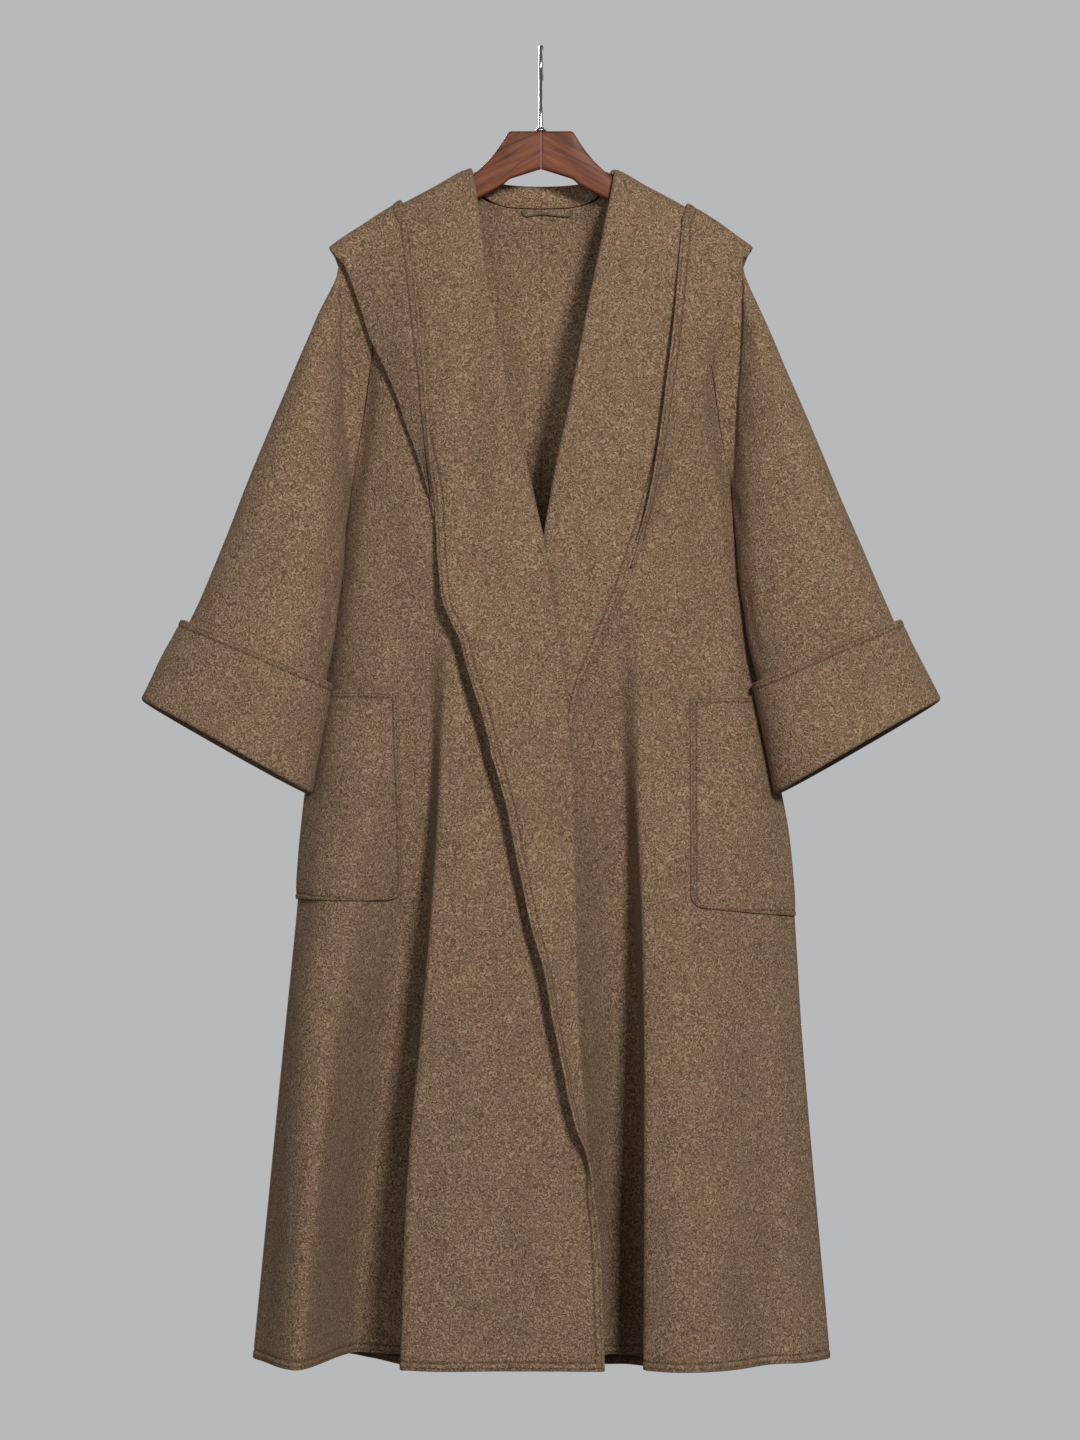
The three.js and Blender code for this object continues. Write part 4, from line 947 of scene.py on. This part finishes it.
# The hood, laid down on the back with its sides over the lapels, in halves that meet at a centre seam.
# Columns: kind, inner out, inner along (or the stand's height), fold out, fold along, face out, face along,
# layer of the under side, of the upper side at the fold, and of the face edge.
HOOD_BACK = [
    ["stand", 0.2, 22, 0.2, -368, 0.2, -140, 8, 24, 18],
    ["stand", 17, 22, 27, -366, 15, -139, 8, 24, 18],
    ["stand", 34, 22, 54, -356, 32, -135, 8.5, 23.5, 18],
    ["stand", 49, 20, 82, -338, 48, -128, 9, 23, 18],
    ["stand", 60, 16, 108, -306, 64, -117, 9, 21, 17],
    ["stand", 66, 9, 122, -280, 76, -105, 8, 19, 15],
    ["seam", 72.5, -1.6, 134, -252, 86, -96, 7, 17, 13],
    ["seam", 104, -1.6, 150, -198, 101, -75, 6.5, 14.5, 12],
    ["seam", 136, -1.6, 165, -140, 114, -54, 6, 12.5, 10.8],
    ["seam", 162, -1.6, 179, -88, 123, -34, 5, 10.8, 9.8],
    ["seam", 182, -1.6, 190, -48, 129, -21, 6.4, 11.4, 10],
    ["seam", 189, -1.4, 199, -24, 133, -12, 5.8, 10.6, 9.6],
    ["seam", 190.8, -0.8, 203, -9, 136, -4, 5, 9.8, 9],
    ["edge", 191.4, 4.5, 204.5, 5, 137, 4, 3.8, 8.6, 8.4],
    ["edge", 190.6, 10, 202.5, 11, 136.4, 10, 4.2, 8.8, 8.8],
    ["edge", 187.8, 15.5, 198.6, 17, 135, 16, 4.8, 9.4, 9.4],
]
# The side of the hood in front: height of the fold, its out, height of the face edge, its out, strip width.
WING_RIGHT = [
    [-216, 193, -172, 132, 12], [-238, 183, -196, 128, 12], [-262, 174, -224, 124, 12],
    [-290, 163, -256, 119.5, 12], [-320, 150, -292, 114.5, 12], [-350, 138, -326, 111, 11],
    [-380, 128, -362, 107.8, 9], [-408, 118, -396, 105, 6], [-432, 110.6, -426, 103.2, 4],
    [-452, 106.8, -450, 102.2, 3], [-470, 104.3, -470, 101.9, 2.6],
]
WING_LEFT = [
    [-219, 196, -177, 140.5, 12], [-238, 190, -200, 137.5, 12], [-262, 182, -228, 134, 12],
    [-292, 171, -260, 130, 12], [-326, 158, -298, 125, 12], [-362, 145, -338, 119.5, 11],
    [-400, 131, -382, 113.5, 9], [-438, 117, -424, 107.5, 6], [-472, 105, -464, 100.4, 4],
    [-500, 96, -496, 92.6, 3], [-518, 89.6, -518, 87.6, 2.6],
]
WING_LIFT = 11.0
TIP_SINK = 7.0
STRIP_GAP = 2.2
NECK_CORNER_GAP = 4
STAND_GAP = 1.2
UNDER_SHARES = [0, 0.022, 0.044, 0.066, 0.09, 0.12, 0.34, 0.56, 0.78, 1]
STRIP_SHARES = [0, 0.12, 0.24, 0.36, 0.48, 0.6, 0.7, 0.8, 0.9, 1]
UPPER_SHARES = [0.25, 0.5, 0.75, 1]
UNDER_PUFF = 9
FOLD_LAYERS = 4.6
HOOD_ROW_STEPS = 7
HOOD_COLUMN_STEPS = 4


def hood_station(side, station):
    """One line of the hood's cloth, from its seam by its fold to its face edge."""
    kind, inner_out, inner_along, fold_out, fold_along, face_out, face_along, under, upper, face = station
    line = []
    bulge = UNDER_PUFF * float(smooth(20, 240, -fold_along))
    if kind == "stand":
        seam = float(back_top(np.array(inner_out))) - STAND_GAP
        seam -= NECK_CORNER_GAP * float(smooth(42, 66, inner_out))
        foot = layer(side, inner_out, -seam, 3 * smooth(52, 66, inner_out))
        top = foot + np.array([0, 5 * float(smooth(70, 50, inner_out)), inner_along - STAND_ROLL])
        line += [foot, (foot + top) / 2, top]
        for degrees in (60, 120, 180):
            phi = math.radians(degrees)
            line.append(top + np.array([0, STAND_ROLL * (1 - math.cos(phi)), STAND_ROLL * math.sin(phi)]))
        for share in (0, 0.33, 0.67, 1):
            off = mix(8, under, share) + UNDER_PUFF * 4 * share * (1 - share)
            along = mix(-seam - RIDGE_BAND, fold_along, share)
            line.append(layer(side, mix(inner_out, fold_out, share), along, off))
    else:
        shares = STRIP_SHARES if kind == "edge" else UNDER_SHARES
        low = float(lapel_layer(inner_along)) if inner_along > 0 else min(under, 4.2)
        puff = 0 if kind == "edge" else bulge
        for share in shares:
            off = mix(low, under, share) + puff * 4 * share * (1 - share)
            along = mix(inner_along, fold_along, share)
            line.append(layer(side, mix(inner_out, fold_out, share), along, off))
    normal = body_normal(side, fold_out, fold_along)
    ahead = unit(line[-1] - line[-2])
    ahead = unit(ahead - normal * (ahead @ normal))
    radius = (upper - under) / 2
    for degrees in (45, 90, 135, 180):
        phi = math.radians(degrees)
        spot = body_middle(side, fold_out, fold_along) + normal * (under + radius * (1 - math.cos(phi)))
        line.append(spot + ahead * radius * math.sin(phi))
    for share in UPPER_SHARES:
        off = mix(upper, face, share) + bulge * 4 * share * (1 - share)
        line.append(layer(side, mix(fold_out, face_out, share), mix(fold_along, face_along, share), off))
    return np.stack(line)


def wing_station(row, end_z):
    """A row of the hood's front side, written as a row of its back."""
    fold_z, fold_out, face_z, face_out, strip = row
    tip = float(smooth(end_z + 40, end_z, fold_z))
    face_lift = WING_LIFT * float(smooth(-190, -300, face_z) * smooth(-520, -440, face_z))
    fold_along = float(along_at(fold_out, fold_z))
    inner_out = fold_out - strip + STRIP_GAP
    under = float(lapel_layer(fold_along)) - TIP_SINK * tip
    upper = under + FOLD_LAYERS - 2 * tip
    return ["edge", inner_out, float(along_at(inner_out, fold_z)), fold_out, fold_along, face_out,
            float(along_at(face_out, face_z)), under, upper, upper + face_lift * (1 - tip)]


def hood(name, side, material):
    table = WING_RIGHT if name == "right" else WING_LEFT
    stations = [list(row) for row in HOOD_BACK]
    if name == "left":
        for station in stations:
            station[5] += 6 * float(smooth(80, 180, station[1]))
    stations += [wing_station(row, table[-1][0]) for row in table]
    grid = np.stack([hood_station(side, station) for station in stations])
    rows, columns = grid.shape[:2]
    grid = spline(grid, np.linspace(0, rows - 1, (rows - 1) * HOOD_ROW_STEPS + 1))
    across = np.linspace(0, columns - 1, (columns - 1) * HOOD_COLUMN_STEPS + 1)
    across = np.concatenate([across[:-1 - HOOD_COLUMN_STEPS], np.linspace(columns - 2, columns - 1, 13)])
    grid = np.swapaxes(spline(np.swapaxes(grid, 0, 1), across), 0, 1)
    normal = grid_normals(grid, False)
    upper = smooth(13, 15.5, across)[None]
    run = lengths(grid, 1)
    edge = run[:, -1:] - run
    spread = np.minimum(np.arange(len(grid))[:, None] * 5.0, 900)
    slow = unevenness(edge, spread, 2 + side["sign"]) * 1.3 * upper * smooth(0, 20, edge)
    facing = np.sign(normal[:, -8, 2].sum())
    grid = grid + normal * (facing * np.maximum(slow, -0.8))[..., None]
    rims = (SEAM_RIM, 0.5, SEAM_RIM, OPEN_RIM)
    return shell(f"hood_{name}", grid, material, edge=edge, stitch=HOOD_STITCH, rims=rims)


def closed_rod(rings, centres):
    """Points and faces of a rod through rings of points, its ends closed by faces about their centres."""
    count, sides = rings.shape[:2]
    index = np.arange(count * sides).reshape(count, sides)
    ahead = np.roll(index, -1, axis=1)
    faces = [np.stack([index[:-1], ahead[:-1], ahead[1:], index[1:]], -1).reshape(-1, 4)]
    for ring, centre, order in ((index[0], count * sides, -1), (index[-1], count * sides + 1, 1)):
        corners = [np.roll(ring, -k)[::2] for k in range(3)] + [np.full(sides // 2, centre)]
        faces.append(np.stack(corners, -1)[:, ::order])
    return np.concatenate([rings.reshape(-1, 3), centres]), np.concatenate(faces)


def tube(node, part, points, radii, material, sides=24):
    """A round rod along points, closed at both ends."""
    points = np.asarray(points, float)
    ahead = unit(np.gradient(points, axis=0))
    first = np.array([1.0, 0.0, 0.0]) if abs(ahead[0, 0]) < 0.9 else np.array([0.0, 1.0, 0.0])
    phi = (2 * math.pi * np.arange(sides) / sides)[:, None]
    rings = []
    for middle, direction, radius in zip(points, ahead, radii):
        first = unit(first - direction * (first @ direction))
        second = np.cross(direction, first)
        rings.append(middle + (np.cos(phi) * first + np.sin(phi) * second) * radius)
    points, faces = closed_rod(np.stack(rings), points[[0, -1]])
    return mesh_piece(node, part, points, faces, material)


# The hanging loop, a narrow rolled tape caught in the neckline seam at both ends.
LOOP_PATH = [[-19, 35.3, -157], [-15, 35.3, -162], [0, 35.3, -160], [27, 34.7, -162], [31, 33.9, -157]]
LOOP_RADIUS = 1.05


def hanging_loop(material):
    line = spline(np.array(LOOP_PATH, float), np.linspace(0, len(LOOP_PATH) - 1, 70))
    piece = tube("hanging_loop", "tape", line, np.full(len(line), LOOP_RADIUS), material, sides=12)


# The hanger's arm: out, top z, bottom z.
WOOD_TOP_Z = -81.5
ARM_OUTLINE = [
    [0.2, WOOD_TOP_Z, -119], [32, WOOD_TOP_Z, -129], [37, -90, -134], [44, -100.5, -138.2],
    [52.5, -111, -142.8], [64.5, -122.4, -149], [70, -127.4, -152], [100, -141.6, -168], [131, -158, -184.5],
    [160, -175.2, -199], [180, -188.6, -208], [188, -198, -204],
]
ARM_OUTS = np.concatenate([
    np.linspace(0.2, 28, 12), np.linspace(29, 75, 47), np.linspace(77, 186, 40), [187.4, 188],
])
ARM_HALF_DEPTH = 5.5
ARM_CORNER = 3.2
ARM_TIP = 178
ARM_TIP_LENGTH = 10.2


def hanger_arm(name, side, material):
    rows = np.array(ARM_OUTLINE, float)
    kernel = np.linspace(-2.2, 2.2, 9)
    top, bottom = (np.mean([np.interp(ARM_OUTS + k, rows[:, 0], rows[:, column]) for k in kernel], axis=0)
                   for column in (1, 2))
    corner = np.linspace(0, math.pi / 2, 6)
    rings = []
    for out, high, low in zip(ARM_OUTS, top, bottom):
        half, middle = (high - low) / 2, (high + low) / 2
        close = math.sqrt(max(0.02, 1 - max(0, (out - ARM_TIP) / ARM_TIP_LENGTH) ** 2))
        deep, half = ARM_HALF_DEPTH * close, half * max(close, 0.2)
        r = min(ARM_CORNER, deep * 0.8, half * 0.8)
        ring = []
        for y, z, turns in ((1, 1, corner), (-1, 1, corner[::-1]), (-1, -1, corner), (1, -1, corner[::-1])):
            depth, rise = y * (deep - r + r * np.cos(turns)), middle + z * (half - r + r * np.sin(turns))
            ring.append(np.stack([np.full(len(turns), side["sign"] * out), depth, rise], -1))
        rings.append(np.concatenate(ring))
    rings = np.stack(rings)
    points, faces = closed_rod(rings, rings[[0, -1]].mean(axis=1))
    mesh_piece(f"hanger_arm_{name}", "wood", points, faces[:, ::side["sign"]], material)


# The hook: a neck of wire that leans back, then half a turn, and a short drop in front.
HOOK_WIRE = 2.4
HOOK_CURVE = 18 + HOOK_WIRE
HOOK_CENTRE_Z = -18
HOOK_NECK = [[0, 0, -81], [0, 0, -70], [0, 1.5, -60], [0, 7, -50], [0, 14.5, -36], [0, 19.4, -26]]
HOOK_TURN = [[0, HOOK_CURVE * math.cos(turn), HOOK_CENTRE_Z + HOOK_CURVE * math.sin(turn)]
             for turn in np.linspace(0, math.pi, 7)]
HOOK_PATH = HOOK_NECK + HOOK_TURN + [[0, -HOOK_CURVE * 0.92, -26], [0, -HOOK_CURVE * 0.75, -33]]
# The ferrule under it: radius, z.
FERRULE = [
    [4.9, -81.2], [5.4, -80.9], [5.4, -79.7], [5.1, -79.2], [4.5, -78.7], [4.4, -78.2], [3.9, -77.8],
    [2.5, -77.7],
]


def hook(material):
    line = spline(np.array(HOOK_PATH, float), np.linspace(0, len(HOOK_PATH) - 1, 190))
    radii = np.full(len(line), HOOK_WIRE)
    radii[:2] *= [0.9, 1]
    radii[-4:] *= [0.98, 0.9, 0.72, 0.35]
    tube("hanger_hook", "wire", line, radii, material, sides=28)


def ferrule(material):
    tube("hook_ferrule", "ring", [[0, 0, z] for _, z in FERRULE], [r for r, _ in FERRULE], material, sides=48)


def walnut():
    """Varnished walnut: long dark and red streaks along each arm, with fine pores."""
    wood = Surface("walnut")
    split = wood.nodes.new("ShaderNodeSeparateXYZ")
    wood.put(split.inputs[0], wood.place())
    x, y, z = split.outputs
    level = wood.math("ADD", z, wood.times(wood.math("ABSOLUTE", x), 0.52))
    figure = wood.noise(wood.scaled((x, y, level), (14.0, 130.0, 150.0)), 1.0, 4.0, 0.6, 0.7)
    pores = wood.noise(wood.scaled((x, y, level), (60.0, 700.0, 900.0)), 1.0, 3.0, 0.6)
    ramp = wood.nodes.new("ShaderNodeValToRGB")
    wood.put(ramp.inputs[0], figure)
    stops = ramp.color_ramp.elements
    stops[0].position, stops[0].color = 0.34, (0.075, 0.020, 0.009, 1)
    stops[1].position, stops[1].color = 0.68, (0.260, 0.078, 0.034, 1)
    stops.new(0.5).color = (0.175, 0.050, 0.022, 1)
    dark = wood.math("MULTIPLY", wood.math("SUBTRACT", 0.46, pores), 4.0, clamp=True)
    colour = wood.mix(wood.times(dark, 0.55), ramp.outputs[0], (0.030, 0.010, 0.006, 1.0))
    wood.bumped(pores, 0.25, 0.0002)
    return wood.finish(Base_Color=colour, Roughness=0.58, Specular_IOR_Level=0.22, Coat_Weight=0.05,
                       Coat_Roughness=0.30)


def chrome():
    """Polished plating with faint wiping marks."""
    plating = Surface("chrome")
    marks = plating.noise(plating.place(), 900.0, 3.0, 0.6)
    rough = plating.math("MULTIPLY_ADD", marks, 0.16, 0.08)
    return plating.finish(Base_Color=(0.80, 0.81, 0.83, 1.0), Metallic=1.0, Roughness=rough)


def tape():
    """A narrow woven tape, a little darker than the cloth."""
    woven = Surface("tape")
    threads = woven.noise(woven.place(), 1500.0, 2.0, 0.6)
    colour = woven.mix(threads, (0.060, 0.040, 0.026, 1.0), (0.190, 0.138, 0.095, 1.0))
    woven.bumped(threads, 0.5, 0.0003)
    return woven.finish(Base_Color=colour, Roughness=0.9)


coat = wool_cloth("wool", BODY_STITCH)
coat_hood = wool_cloth("wool_hood", HOOD_STITCH)
coat_cuff = wool_cloth("wool_cuff", CUFF_STITCH)
coat_pocket = wool_cloth("wool_pocket", POCKET_STITCH)
wood, metal = walnut(), chrome()

for name, side in SIDES.items():
    front(name, side, coat)
    back(name, side, coat)
    sleeve(name, side, coat)
    cuff(name, side, coat_cuff)
    pocket(name, side, coat_pocket)
    hood(name, side, coat_hood)
    hanger_arm(name, side, wood)
hanging_loop(tape())
hook(metal)
ferrule(metal)


def area_light(name, place, aim, size, power, colour=(1.0, 1.0, 1.0)):
    data = bpy.data.lights.new(name, "AREA")
    data.shape = "RECTANGLE"
    data.size, data.size_y = size
    data.energy = power
    data.color = colour
    light = bpy.data.objects.new(name, data)
    light.location = place
    across, ahead, up = np.subtract(aim, place)
    tilt = math.atan2(up, math.hypot(across, ahead))
    light.rotation_euler = (math.pi / 2 + tilt, 0, -math.atan2(across, ahead))
    scene.collection.objects.link(light)


COAT_MIDDLE = (0, 0, -0.65)
WARM = (1.0, 0.985, 0.96)
COOL = (0.97, 0.985, 1.0)
area_light("key", (1.2, -4.2, 0.9), COAT_MIDDLE, (0.6, 0.6), 162, WARM)
area_light("fill", (-1.3, -4.2, 0.2), COAT_MIDDLE, (1.6, 1.6), 28, COOL)
area_light("inner", (0.0, -0.012, -0.345), (0.0, 0.06, -0.345), (0.06, 0.22), 0.016, WARM)
area_light("behind", (-1.0, 4.2, 0.9), COAT_MIDDLE, (1.2, 1.2), 120, WARM)
area_light("rim_left", (-2.2, 1.4, 0.8), COAT_MIDDLE, (1.2, 2.4), 12)
area_light("rim_right", (2.2, 1.4, 0.8), COAT_MIDDLE, (1.2, 2.4), 12)

# The plain backdrop is the world as the camera sees it; the cloth is lit by a softer one.
BACKDROP = (0.482, 0.485, 0.497, 1.0)
AMBIENT = (0.60, 0.605, 0.615, 1.0)
world = bpy.data.worlds.new("world")
scene.world = world
world.use_nodes = True
world_nodes, world_links = world.node_tree.nodes, world.node_tree.links
world_nodes.clear()
ray = world_nodes.new("ShaderNodeLightPath")
seen, lit = world_nodes.new("ShaderNodeBackground"), world_nodes.new("ShaderNodeBackground")
seen.inputs["Color"].default_value = BACKDROP
lit.inputs["Color"].default_value = AMBIENT
lit.inputs["Strength"].default_value = 0.16
blend = world_nodes.new("ShaderNodeMixShader")
output = world_nodes.new("ShaderNodeOutputWorld")
world_links.new(ray.outputs["Is Camera Ray"], blend.inputs[0])
world_links.new(lit.outputs[0], blend.inputs[1])
world_links.new(seen.outputs[0], blend.inputs[2])
world_links.new(blend.outputs[0], output.inputs[0])

scene.view_settings.view_transform = "Standard"
